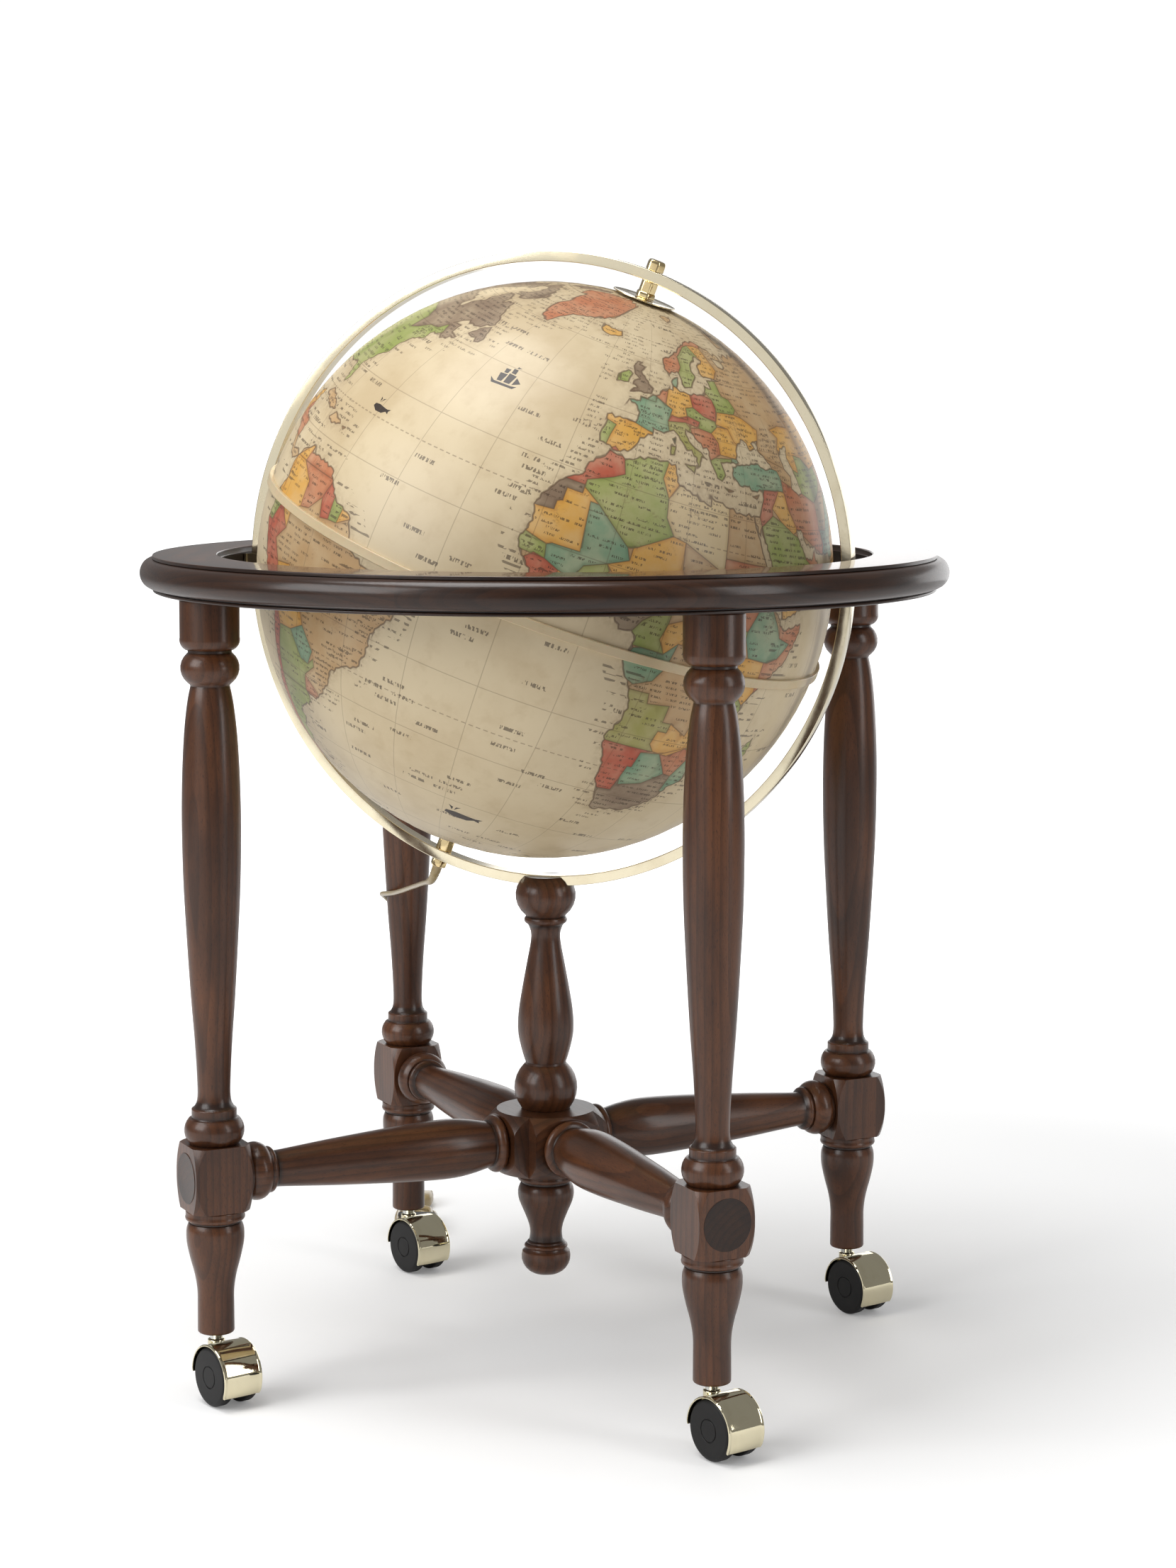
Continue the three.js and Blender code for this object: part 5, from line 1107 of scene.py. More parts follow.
# %% Countries: the first tint that a spot falls in wins; the coasts trim them
TINTS = {"ochre": (0.58, 0.31, 0.06), "green": (0.25, 0.29, 0.075), "olive": (0.29, 0.27, 0.075),
         "teal": (0.16, 0.27, 0.165), "red": (0.40, 0.085, 0.045), "salmon": (0.43, 0.155, 0.07),
         "brown": (0.20, 0.135, 0.085), "tan": (0.43, 0.27, 0.125), "cream": (0.55, 0.42, 0.225),
         "ink": (0.035, 0.024, 0.018)}
COUNTRIES = """
red: -13.5 27.7, -8.7 27.7, -8.7 28.8, -3.6 30.9, -1.2 32.2, -2.2 35.2, -5 37, -12 33, -14 28
brown: -18 20.8, -13 21.3, -13 23, -12 23.5, -12 26, -8.7 26, -8.7 27.7, -13.5 27.7, -18 26
ochre: -17.5 16, -12 14.8, -11 15.3, -5.5 15.5, -6.6 25, -4.8 25, -8.7 27.3, -8.7 26, -12 26, -12 23.5, -13
    23, -13 21.3, -18 20.8
green: -8.7 27.3, -4.8 25, 3.2 19, 4.3 19.2, 12 23.5, 9.8 26.5, 9.5 30.2, 7.5 33.8, 8.4 37.5, 0 38, -2.2
    35.2, -1.2 32.2, -3.6 30.9, -8.7 28.8
ochre: 7.5 33.8, 9.5 30.2, 11.5 33.1, 12 35, 11 38, 8.4 37.5
cream: 9.5 30.2, 9.8 26.5, 12 23.5, 15 23, 24 19.5, 25 20, 25 32.5, 18 33, 11.5 33.4
tan: 25 22, 37 22, 34.9 29.5, 34.2 31.5, 30 33, 25 32.5
teal: -12 14.8, -11.4 12.2, -8.3 11, -5.5 10.3, -4 13.3, 0.2 15, 4.2 16.8, 3.2 19, -4.8 25, -6.6 25, -5.5
    15.5, -11 15.3
ochre: 0.2 15, 3.6 11.8, 13.6 13.7, 15.5 16.9, 15 23, 12 23.5, 4.3 19.2, 4.2 16.8
tan: 13.6 13.7, 15.5 10, 15.3 7.6, 22.8 11, 22.5 14, 24 15.7, 24 19.5, 15 23, 15.5 16.9
salmon: 22.8 11, 24 8.7, 34 9.5, 36.5 14.3, 38.5 18, 37 22, 25 22, 25 20, 24 19.5, 24 15.7, 22.5 14
green: 24 8.7, 27.4 5, 34 4.2, 34 9.5
teal: 34 9.5, 34 8, 36 4.5, 42 4, 45 5, 48 8, 44 9, 42.8 11, 40 14.5, 36.5 14.3
salmon: 41 -2.5, 41 3.9, 45 5, 48 8, 44 9, 43.3 11.5, 52 13, 52 5, 44 -2
ochre: 34 4.2, 36 4.5, 41 4, 41 -2, 39.2 -5, 34 -1
green: 34 -1, 39.2 -5, 41 -11, 34.6 -11.5, 31 -8.5, 29.5 -5, 30.5 -1.1
red: 29.6 -1.3, 34 -1, 34 4.2, 30.8 3.5
tan: 11.5 -6, 16.5 -6, 17 -8, 21.8 -7.5, 22 -11, 24 -11, 28.5 -13, 28.7 -8.5, 30.8 -8.3, 29.2 -5, 29.5 -1,
    31 3.5, 27.4 5, 22.4 4.1, 18.6 4.5, 17.7 -0.5, 16 -3.5, 12.5 -5
teal: 8 1, 11.3 2.2, 16.2 2, 18.6 4.5, 17.7 -0.5, 16 -3.5, 12.5 -5, 8 -3
green: 8.5 4.4, 10 7, 13.2 9.6, 14.5 13, 15.5 10, 15.3 7.6, 14.5 4.5, 16.2 2, 9.5 2.2, 8 3
ochre: 14.5 4.5, 15.3 7.6, 22.8 11, 24 8.7, 27.4 5, 22.4 4.1, 18.6 4.5, 16.2 2
brown: 2.7 5.5, 2.8 9, 3.6 11.8, 13.6 13.7, 14.5 13, 13.2 9.6, 10 7, 8.5 4.4, 5 3.5
salmon: -3.2 4.5, -2.8 9.6, 0 11.1, 3.6 11.8, 2.8 9, 2.7 5.5
green: -5.5 10.3, -2.8 9.6, 0 11.1, 2.2 12, 0.2 15, -4 13.3
ochre: -8.5 4, -8.3 7.5, -8.3 11, -5.5 10.3, -2.8 9.6, -3 4
red: -16 10.5, -13.7 12.6, -11.4 12.2, -8.3 11, -8.3 7.5, -8.5 4, -15 8
green: -18 12.4, -11.4 12.2, -12 14.8, -17 16, -18 15
olive: 11 -6, 12.5 -6, 16.5 -6, 17 -8, 21.8 -7.5, 22 -11, 24 -11, 24 -13, 22 -13, 21.8 -16, 23.4 -17.6, 14
    -17.4, 11 -17.3
ochre: 22 -13, 24 -13, 24 -11, 28.5 -13, 28.7 -8.5, 30.8 -8.3, 33 -9.5, 33 -14, 27 -18, 23.4 -17.6, 21.8 -16
teal: 34.6 -11.5, 41.5 -10.5, 41 -16, 35.5 -22, 34 -26.8, 32 -26.8, 31.5 -22.5, 33 -17, 30.4 -15.5, 34.5
    -14.5
salmon: 25.3 -17.8, 30.4 -15.5, 33 -17, 31.5 -22.5, 29.4 -22.2
red: 11 -17.3, 14 -17.4, 23.4 -17.6, 21 -18.3, 21 -22, 20 -22, 20 -28.5, 16.4 -28.7, 12 -24
teal: 21 -18.3, 25.3 -17.8, 29.4 -22.2, 25.7 -25.5, 20.7 -26.8, 20 -24.8, 20 -22, 21 -22
brown: 16 -28.6, 20 -28.5, 20 -24.8, 20.7 -26.8, 25.7 -25.5, 29.4 -22.2, 31.5 -22.5, 32 -26.8, 33.5 -27, 30
    -33, 20 -36, 16 -33
green: 43 -11, 51 -11, 51 -19, 47 -26, 42 -24
green: -10 36.5, -7.4 36.5, -7 39, -6.3 41.5, -8.8 42, -10 41.8
ochre: -10 42, -8.8 42, -6.3 41.5, -7 39, -7.4 36.5, -6 35.7, 0 37, 4 42.3, 1.5 42.6, -1.8 43.3, -9.5 44
teal: -1.8 43.3, 1.5 42.6, 3.3 42.2, 5 42.5, 7.6 43.7, 7 46, 8.2 49, 2.5 51.1, -2 50.3, -6 48.5, -3 45
teal: 8.4 41.3, 10 41.3, 10 43.2, 8 43
red: 7 46, 8 47.6, 10 47.5, 13 48.5, 17 48, 16 46.6, 12.3 46.9
olive: 7.6 43.7, 7 46, 12.3 46.9, 13.8 46, 14.5 43.5, 19 40.5, 16 36, 11 36.5, 8 38.5, 8 41.2, 10 43
ochre: 6 49.5, 8.2 49, 7.6 47.6, 13 47.6, 12.5 50.3, 15 51, 14.3 54.4, 8.5 55, 6.8 53.9
salmon: 2.5 51.1, 6 49.5, 6.8 53.9, 4 53.2
red: 14.3 54.4, 15 51, 18.8 49.5, 22.8 49.2, 23.8 52.5, 23 54.3, 19 55
green: 12.5 50.3, 15 51, 18.8 49.5, 22.5 49, 22.8 48, 20.5 46.2, 16.5 46.5, 17 48, 13 48.6
ochre: 20.5 46.2, 22.8 48, 26.8 48.2, 28.2 45.5, 30 45, 28.8 41.8, 22.8 42, 22.5 44.5
salmon: 13.7 46, 16.5 46.5, 20.5 46.2, 22.5 44.5, 22.8 42, 21 41, 19 40, 13 44.5
green: 19.3 40, 21 41, 26.4 41.7, 26.2 38.5, 24 34, 20 36.5
teal: 26 40.5, 26.4 41.9, 28.6 42, 36 42.4, 43.5 41.2, 44.6 39.5, 44.3 37.2, 36.5 36.8, 36 35.8, 27 36, 25.5
    39
ochre: 22.5 48.5, 24 51.5, 31 52, 34 51.6, 39.8 49.5, 38.2 47, 36.8 45, 33 44, 30 45, 28.2 45.5, 26.8 48.2
green: 23.8 51.5, 31 52, 32.5 53.3, 31 55.5, 28 56, 27.5 59.7, 23 59.6, 20.6 56, 23 54.3
salmon: 4 57.6, 8 57.6, 11 58.9, 12.5 61, 12 64, 17 68, 20.5 69, 25.5 69.5, 29 69, 31.4 70.5, 25 72, 15
    69.8, 3.5 62
green: 11 58.9, 12.5 61, 12 64, 17 68, 20.5 69, 24 66, 22.2 65.7, 18 62.3, 19.5 59.5, 15 55, 12.2 55.4
ochre: 20.5 69, 25.5 69.5, 29 69, 30 67, 31.5 62.8, 28 60.3, 22 59.7, 20.5 62.5, 25 65.1, 24 66
teal: 8 54.9, 7.6 58, 11 58, 12.8 55.5, 11 54.5
tan: 28 60.3, 27.5 59.6, 28 56, 31 55.5, 32.5 53.3, 34 51.6, 39.8 49.5, 38.2 47, 36.8 45, 40 43.3, 47.5 42,
    47 46, 50 48.5, 47 50.2, 54 51.3, 61.5 51, 61 54, 71 54.2, 77 53.5, 83.5 51, 87.3 49, 98 50.2, 107 49.7,
    116 49.9, 120 53, 126 53, 131 47.8, 135 48.3, 131 42.8, 145 43, 190.9 58, 190.9 73, 100 80, 60 79, 35
    71.5, 29 69, 30 67, 31.5 62.8
ochre: 47 46, 50 48.5, 47 50.2, 54 51.3, 61.5 51, 61 54, 71 54.2, 77 53.5, 83.5 51, 87.3 49, 82.5 45.5, 80.2
    42.3, 71 42.3, 66 42, 61 44.5, 56 45, 55.5 41.3, 52.5 42, 51 44.5
green: 52.5 42, 55.5 41.3, 56 45, 61 44.5, 66 42, 71 42.3, 73 39.5, 67 37.2, 61.2 35.3, 53.8 37.2
salmon: 44.3 39.5, 48 38.5, 53.8 37.2, 61.2 35.3, 61 31, 63 27, 61.5 25, 56.6 26.6, 48.4 29.8, 45.5 33.5,
    44.5 37
ochre: 42.3 37.2, 44.5 37, 45.5 33.5, 48.4 29.8, 46.5 29, 42 31, 38.8 33.4
red: 34.2 31.3, 34.9 29.5, 38.8 32, 38.8 33.4, 42.3 37.2, 36 36.8, 34.8 33
green: 34.9 29.5, 38.8 32, 42 31, 46.5 29, 48.4 28.5, 50.2 26.5, 51.5 24.5, 55.2 22.7, 52 19, 44 17.4, 42.5
    16.3, 38 21
ochre: 42.5 16.5, 44 17.4, 52 19, 53 16.5, 44 12
salmon: 51.5 24.5, 55.2 22.7, 52 19, 53 16.5, 60 22, 57 27
tan: 61.2 35.3, 67 37.2, 75 37, 70 33.5, 66.5 29.7, 61 30
teal: 61 30, 66.5 29.7, 70 33.5, 75 37, 77.5 35.5, 74.5 31, 70 28, 71 24.3, 66 24.5, 61.5 25, 63 27
ochre: 68 23.5, 71 24.3, 70 28, 74.5 31, 77.5 35.5, 79 31, 88 27.5, 97 28.5, 93 23, 91.5 24.5, 88.3 24.5, 89
    21, 80 5.5, 72 15
salmon: 73.5 39.5, 80.2 42.3, 82.5 45.5, 87.3 49, 91 45.2, 97 42.7, 105 41.7, 112 43.7, 119.5 46.8, 116
    49.9, 120 53, 126 53, 131 47.8, 135 48.3, 131 42.8, 124.5 39.9, 123 30, 118 22, 108 21.3, 102 21.5, 98
    24, 97 28.5, 88 27.5, 79 31, 77.5 35.5
green: 87.3 49, 98 50.2, 107 49.7, 116 49.9, 119.5 46.8, 112 43.7, 105 41.7, 97 42.7, 91 45.2
teal: 92.3 21, 97 28.5, 98 24, 101 21.5, 97.5 18.5, 98.6 10, 94 15
ochre: 97.5 18.5, 100.5 20.3, 105.5 15, 102.5 12, 100 5.8, 98 8
green: 100.5 20.3, 102 22.3, 108 21.6, 111 13, 105 8, 102.5 12, 105.5 15
olive: 124.5 39.9, 131 42.8, 131 36, 126 33.5
ochre: -141 60, -141 72, -168.9 72, -168.9 54, -150 58, -130 54.5, -135 59.5
brown: -141 60, -135 59.5, -130 54.5, -128 48.5, -95 49, -88 48.2, -83 46, -82.5 42, -79 43, -75 45, -71
    45.3, -69 47.3, -67 45, -66 43, -50 46, -55 55, -58 72, -75 80, -60 85, -141 85
green: -128 48.5, -95 49, -88 48.2, -83 46, -82.5 42, -79 43, -75 45, -71 45.3, -69 47.3, -67 45, -70 40,
    -75 34, -79 24, -90 27.5, -97.2 25.9, -101 29.8, -106.5 31.8, -111 31.3, -117 32.5, -127 40
ochre: -97.2 25.9, -101 29.8, -106.5 31.8, -111 31.3, -117 32.5, -112 22, -104 17, -92.2 14.3, -91 17.2,
    -88.2 18.4, -86 22
salmon: -94 19, -88.2 18.4, -83 16, -83 11, -88 12, -92.2 14.3
ochre: -77.4 8.7, -71.5 13, -72.5 9, -67.5 6.2, -67 1.2, -70 -0.5, -70 -4.2, -75 -0.2, -79 1.2, -79 6
salmon: -71.5 13, -72.5 9, -67.5 6.2, -67 1.2, -64 1.8, -61 5, -60 8.5, -61 11.5
red: -60 8.7, -61 5, -59.5 1.5, -57 2, -57.5 6.5
green: -57.5 6.5, -57 2, -54.5 2.2, -54 6.5
ochre: -54 6.5, -54.5 2.2, -51.5 4, -51 6
green: -79 1.2, -75 -0.2, -78.5 -5, -82 -4, -82 0
red: -78.5 -5, -75 -0.2, -70 -4.2, -73.5 -7.3, -70.5 -11, -69 -14, -69.5 -18, -71 -18.3, -78 -14, -82 -5
ochre: -70.5 -11, -65.3 -10, -60.3 -14, -58 -19.8, -62.5 -22.2, -67.5 -22.8, -69.5 -18, -69 -14
teal: -62.5 -22.2, -58 -19.8, -54.3 -24, -56 -27.3, -58.6 -27
red: -69.5 -18, -67.5 -22.8, -69.5 -30, -71 -40, -72 -50, -68.5 -52.5, -68.5 -56, -77 -50, -74 -30, -71
    -18.3
green: -67.5 -22.8, -62.5 -22.2, -58.6 -27, -56 -27.3, -54 -25.5, -53.8 -27.2, -57.6 -30.2, -58.3 -34, -55
    -38, -64 -52, -63 -56, -68.5 -56, -68.5 -52.5, -72 -50, -71 -40, -69.5 -30
salmon: -57.6 -30.2, -53.5 -33, -53 -35.5, -58.3 -34
tan: -77 9, -33 9, -33 -34, -80 -34
salmon: -56 59, -40 59, -10 80, -10 84, -75 84, -75 76
ochre: -25 63, -13 63, -13 67, -25 67
brown: -7 49.5, 3 49.5, 3 59.5, -5.3 59.5, -6.5 56.5, -5.2 54.6
green: -11 51, -5.3 51.5, -5.3 56, -11 56
ochre: 112 -10, 129 -10, 129 -36, 112 -36
salmon: 129 -10, 138 -10, 138 -26, 129 -26
green: 138 -8, 155 -8, 155 -29, 138 -29
teal: 129 -26, 141 -26, 141 -39, 129 -39
olive: 141 -29, 155 -29, 151 -44, 141 -44
salmon: 129 30, 146 30, 146 46, 139 46, 129 34
green: 94 6, 107 6, 107 -9, 94 -5
ochre: 105 -9, 120 -9, 120 8, 108 8
cream: -169 -62, 191 -62, 191 -86, -169 -86
"""

# %% A small ship and a whale of this globe's own, drawn in degrees
SHIP = ["-2.2 0, 2.4 0.3, 3 1.1, 1.9 0.8, -1.9 0.6, -3 1.2", "-1.5 0.9, -0.5 1, -0.3 3, -1.9 2.8",
        "0 1, 1.3 1.1, 1.6 3.3, -0.1 3.4", "-1.3 3.1, -0.5 3.2, -0.4 4.3, -1.5 4.2",
        "0.1 3.6, 1.1 3.6, 1 4.8, 0 4.8",
        "1.8 1.1, 3.3 2, 1.9 3", "0.5 5, 1.5 5.4, 0.5 5.5"]
WHALE = ["-2.6 0, -1 -0.8, 1 -0.7, 2 0, 2.9 -0.3, 2.7 0.3, 3.2 0.9, 2.1 0.6, 0.8 0.7, -1 0.9, -2.4 0.7",
         "-1.6 1.2, -1.5 2.1, -2.2 2.5, -1.9 1.9", "-1.3 1.2, -1.1 2.2, -0.4 2.5, -0.9 1.9"]
VIGNETTES = [(SHIP, -37, 40, 1.0), (WHALE, -60, 25, 0.9), (WHALE, -9, -50, 1.3), (SHIP, -125, 5, 1.0),
             (SHIP, 78, -32, 1.0), (WHALE, -95, -42, 1.0), (WHALE, 165, 22, 0.9)]


def pairs(text):
    return [tuple(float(v) for v in part.split()) for part in text.replace("\n", " ").split(",")]


def roughened(points, longest, wobble=0.0):
    """Cuts long sides into short ones and shakes the new points a little, as a drawn coast is."""
    made = []
    for i, (a, b) in enumerate(zip(points, points[1:] + points[:1])):
        dx, dy = b[0] - a[0], b[1] - a[1]
        size = math.hypot(dx * max(0.25, math.cos(math.radians((a[1] + b[1]) / 2))), dy)
        count = max(1, math.ceil(size / longest))
        made.append(a)
        for k in range(1, count):
            shake = math.sin(9.1 * k + 3.7 * i) + 0.7 * math.sin(23.3 * k + 1.9 * i)
            shake *= wobble * min(1, size / 3) / max(size, 1e-6)
            made.append((a[0] + dx * k / count - dy * shake, a[1] + dy * k / count + dx * shake))
    return made


def inside(spots, outlines):
    """For every spot, whether it lies in any of the outlines."""
    found = np.zeros(len(spots), bool)
    for points in outlines:
        edge = np.array(points)
        low, high = edge.min(axis=0), edge.max(axis=0)
        near = np.nonzero(((spots >= low) & (spots <= high)).all(axis=1))[0]
        x, y = spots[near].T
        odd = np.zeros(len(near), bool)
        for (ax, ay), (bx, by) in zip(points, points[1:] + points[:1]):
            if ay != by:
                odd ^= ((ay > y) != (by > y)) & (x < (bx - ax) * (y - ay) / (by - ay) + ax)
        found[near] |= odd
    return found


lands = [roughened(pairs(text), 0.9, 0.22) for text in COASTS.values()]
inland_sea = roughened(pairs(CASPIAN), 0.9, 0.15)
countries = []
for line in COUNTRIES.strip().replace("\n    ", " ").splitlines():
    tint, text = line.split(":")
    countries.append((tint, roughened(pairs(text), 0.8)))
drawings = []
for shapes, lon, lat, size in VIGNETTES:
    narrow = math.cos(math.radians(lat))
    drawings += [[(lon + size * x / narrow, lat + size * y) for x, y in pairs(text)] for text in shapes]


def on_land(spots):
    return inside(spots, lands) & ~inside(spots, [inland_sea])


print("coasts", len(lands), "countries", len(countries), "coast points", sum(len(p) for p in lands))

# %% The ink lines: all coasts, and borders where they lie on land
WEST, EAST, POLE_EDGE, FINE = -169.0, 191.0, 86.3, 0.2
coast_ink = [p for chain in [*lands, inland_sea] for p in roughened(chain, FINE)]
border_ink = np.array([p for _, chain in countries for p in roughened(chain, FINE)])
border_ink = border_ink[on_land(border_ink)]


def on_ball(lon, lat, radius=1.0):
    """A spot of the map as a point about the middle of the ball, with the pole leaning as it should."""
    turn, up = math.radians(lon + MAP_TURN), math.radians(lat)
    local = Vector((math.cos(turn) * math.cos(up), math.sin(turn) * math.cos(up), math.sin(up)))
    return POLAR.to_3x3() @ local * radius


def lookup(spots):
    tree = KDTree(len(spots))
    for i, (x, y) in enumerate(spots):
        tree.insert(on_ball(x, y), i)
    tree.balance()
    return tree


MAP_TURN = -62.5  # where the map was stopped when it was last turned
coast_tree, border_tree = lookup(coast_ink), lookup(border_ink)


def ink_gap(x, y, trees):
    return math.degrees(min(tree.find(on_ball(x, y))[2] for tree in trees))


# %% One triangulated ball: a loose grid plus every coast and border
points, edges = [], []


def keep(chain, closed=True):
    first = len(points)
    points.extend(Vector(p) for p in chain)
    edges.extend((first + i, first + i + 1) for i in range(len(chain) - 1))
    if closed:
        edges.append((len(points) - 1, first))


for chain in [*lands, inland_sea, *drawings]:
    keep(chain)
for _, chain in countries:
    middles = np.array([((a[0] + b[0]) / 2, (a[1] + b[1]) / 2) for a, b in zip(chain, chain[1:] + chain[:1])])
    needed = on_land(middles) & (middles[:, 0] > WEST + 0.2) & (middles[:, 0] < EAST - 0.2)
    for use, a, b in zip(needed, chain, chain[1:] + chain[:1]):
        if use:
            keep([a, b], closed=False)
COLUMNS = 90
rows = [-POLE_EDGE, *range(-84, 85, 4), POLE_EDGE]
for lat in (-POLE_EDGE, POLE_EDGE):
    keep([(WEST + (EAST - WEST) * i / COLUMNS, lat) for i in range(COLUMNS + 1)], closed=False)
for lon in (WEST, EAST):
    keep([(lon, lat) for lat in rows], closed=False)
for lat in rows[1:-1]:
    count = max(24, round(COLUMNS * math.cos(math.radians(lat))))
    points.extend(Vector((WEST + (EAST - WEST) * (i + 0.5) / count, lat)) for i in range(count))

# A side that joins two inked points without being a line itself gets a point of its own half way,
# so that no false line is drawn along it.
for _ in range(2):
    flat, _, triangles, *_ = delaunay_2d_cdt(points, edges, [], 0, 1e-5, False)
    gaps = [ink_gap(p.x, p.y, (coast_tree, border_tree)) for p in flat]
    sides = {tuple(sorted(pair)) for t in triangles for pair in zip(t, t[1:] + t[:1])}
    for a, b in sorted(sides):
        middle = (flat[a] + flat[b]) / 2
        if max(gaps[a], gaps[b]) < 0.02 and ink_gap(middle.x, middle.y, (coast_tree, border_tree)) > 0.14:
            if WEST + 0.2 < middle.x < EAST - 0.2:
                points.append(middle)
flat, _, triangles, *_ = delaunay_2d_cdt(points, edges, [], 0, 1e-5, False)
print("map points", len(flat), "triangles", len(triangles))

# %% The ball: printed skin outside, plain wall inside
BALL, WALL = 250.0, 2.5
FAR_OFF = 9.0  # degrees to the nearest line, given to the plain inner wall and its rims
INK_ALPHA = 0.5  # the share of land that marks a drawing in the sea
middles = np.array([[sum(flat[i][k] for i in t) / 3 for k in (0, 1)] for t in triangles])
face_tint = np.full(len(triangles), "", dtype=object)
land = on_land(middles)
face_tint[land] = "tan"
open_faces = land.copy()
for tint, chain in countries:
    here = open_faces & inside(middles, [chain])
    face_tint[here] = tint
    open_faces &= ~here
face_tint[inside(middles, drawings)] = "ink"
outer = [on_ball(p.x, p.y, BALL) for p in flat]
ball_verts, ball_faces = list(outer), [tuple(t) for t in triangles]
for lat in rows:
    ball_verts += [on_ball(WEST + 360 * i / COLUMNS, lat, BALL - WALL) for i in range(COLUMNS)]
first = len(outer)
wall_faces = grid_faces(len(rows), COLUMNS)
ball_faces += [tuple(first + i for i in reversed(face)) for face in wall_faces]
for row, lat in ((0, -POLE_EDGE), (len(rows) - 1, POLE_EDGE)):
    rim = len(ball_verts)
    ball_verts += [on_ball(WEST + 360 * i / COLUMNS, lat, BALL) for i in range(COLUMNS)]
    low = first + row * COLUMNS
    for i in range(COLUMNS):
        n = (i + 1) % COLUMNS
        face = (low + i, rim + i, rim + n, low + n)
        ball_faces.append(face if row == 0 else face[::-1])
ball_mesh = bpy.data.meshes.new("map_ball")
middle_of_ball = Vector((0, 0, RING["centre"]))
ball_mesh.from_pydata([(v + middle_of_ball) * MM for v in ball_verts], [], ball_faces)
# tint: linear colour with the share of land in alpha. coast, border: degrees to the nearest line.
tint_layer = ball_mesh.attributes.new("tint", "FLOAT_COLOR", "CORNER")
colours = np.zeros((len(ball_mesh.loops), 4), np.float32)
for i, tint in enumerate(face_tint):
    if tint:
        colours[3 * i:3 * i + 3] = (*TINTS[tint], INK_ALPHA if tint == "ink" else 1.0)
tint_layer.data.foreach_set("color", colours.ravel())
for name, tree in (("coast", coast_tree), ("border", border_tree)):
    layer = ball_mesh.attributes.new(name, "FLOAT", "POINT")
    found = [ink_gap(p.x, p.y, (tree,)) for p in flat] + [FAR_OFF] * (len(ball_verts) - len(flat))
    layer.data.foreach_set("value", found)
work = bmesh.new()
work.from_mesh(ball_mesh)
bmesh.ops.remove_doubles(work, verts=work.verts, dist=2e-6)
bmesh.ops.dissolve_degenerate(work, edges=work.edges, dist=1e-7)
print("edges of the ball without exactly two faces", sum(len(e.link_faces) != 2 for e in work.edges))
work.to_mesh(ball_mesh)
work.free()
ball_mesh.polygons.foreach_set("use_smooth", [True] * len(ball_mesh.polygons))
ball_mesh.set_sharp_from_angle(angle=math.radians(30))
map_ball = bpy.data.objects.new("map_ball", ball_mesh)
bpy.context.collection.objects.link(map_ball)

# The skin is printed on a true ball, so its shading normals point straight out of the middle.
exact = []
for face in ball_mesh.polygons:
    for i in face.vertices:
        ray = (ball_mesh.vertices[i].co / MM - middle_of_ball).normalized()
        side = face.normal.dot(ray)
        exact.append(ray if side > 0.7 else -ray if side < -0.7 else face.normal)
ball_mesh.normals_split_custom_set(exact)

# %% [markdown]
# The sheet's own look: old cream paper with brownish clouds, flat tints that deepen towards their
# borders, thin brown coast and border lines, a net of longitude and latitude each fifteen degrees,
# dashed tropics, and rows of marks that read as small print from a step away without being words.

# %% The printed sheet
PAPER, AGED, SEPIA = (0.59, 0.485, 0.315, 1), (0.42, 0.31, 0.17, 1), (0.10, 0.058, 0.032, 1)
printed_map, tree, shader = new_material("printed map", Coat_Weight=0.16, Coat_Roughness=0.24,
                                         Specular_IOR_Level=0.35)
spot = vector(tree, "SUBTRACT", node(tree, "TexCoord").outputs["Object"], (0, 0, RING["centre"] * MM))
turned = node(tree, "VectorRotate", {"rotation_type": "Y_AXIS"}, Vector=spot,
              Angle=-math.radians(21)).outputs[0]
x, y, z = node(tree, "SeparateXYZ", Vector=vector(tree, "NORMALIZE", turned)).outputs
to_degrees = 180 / math.pi
lat = calc(tree, "MULTIPLY", calc(tree, "ARCSINE", z), to_degrees)
lon = calc(tree, "SUBTRACT", calc(tree, "MULTIPLY", calc(tree, "ARCTAN2", y, x), to_degrees), MAP_TURN)
squeeze = calc(tree, "SQRT", calc(tree, "SUBTRACT", 1.0, calc(tree, "MULTIPLY", z, z)))
tint = node(tree, "Attribute", {"attribute_name": "tint"})
land = tint.outputs["Alpha"]
coast = node(tree, "Attribute", {"attribute_name": "coast"}).outputs["Fac"]
border = node(tree, "Attribute", {"attribute_name": "border"}).outputs["Fac"]


def noise(scale, detail=3.0, rough=0.55, where=None):
    return node(tree, "TexNoise", Vector=where or turned, Scale=scale, Detail=detail,
                Roughness=rough).outputs[0]


def net(value, every, width):
    """1 on lines that come each so many degrees."""
    across = calc(tree, "ABSOLUTE", calc(tree, "SUBTRACT",
                  calc(tree, "FRACT", calc(tree, "ADD", calc(tree, "DIVIDE", value, every), 0.5)), 0.5))
    return ramp(tree, calc(tree, "MULTIPLY", across, every), width, 0.0)


def both(a, b):
    return calc(tree, "MULTIPLY", a, b)


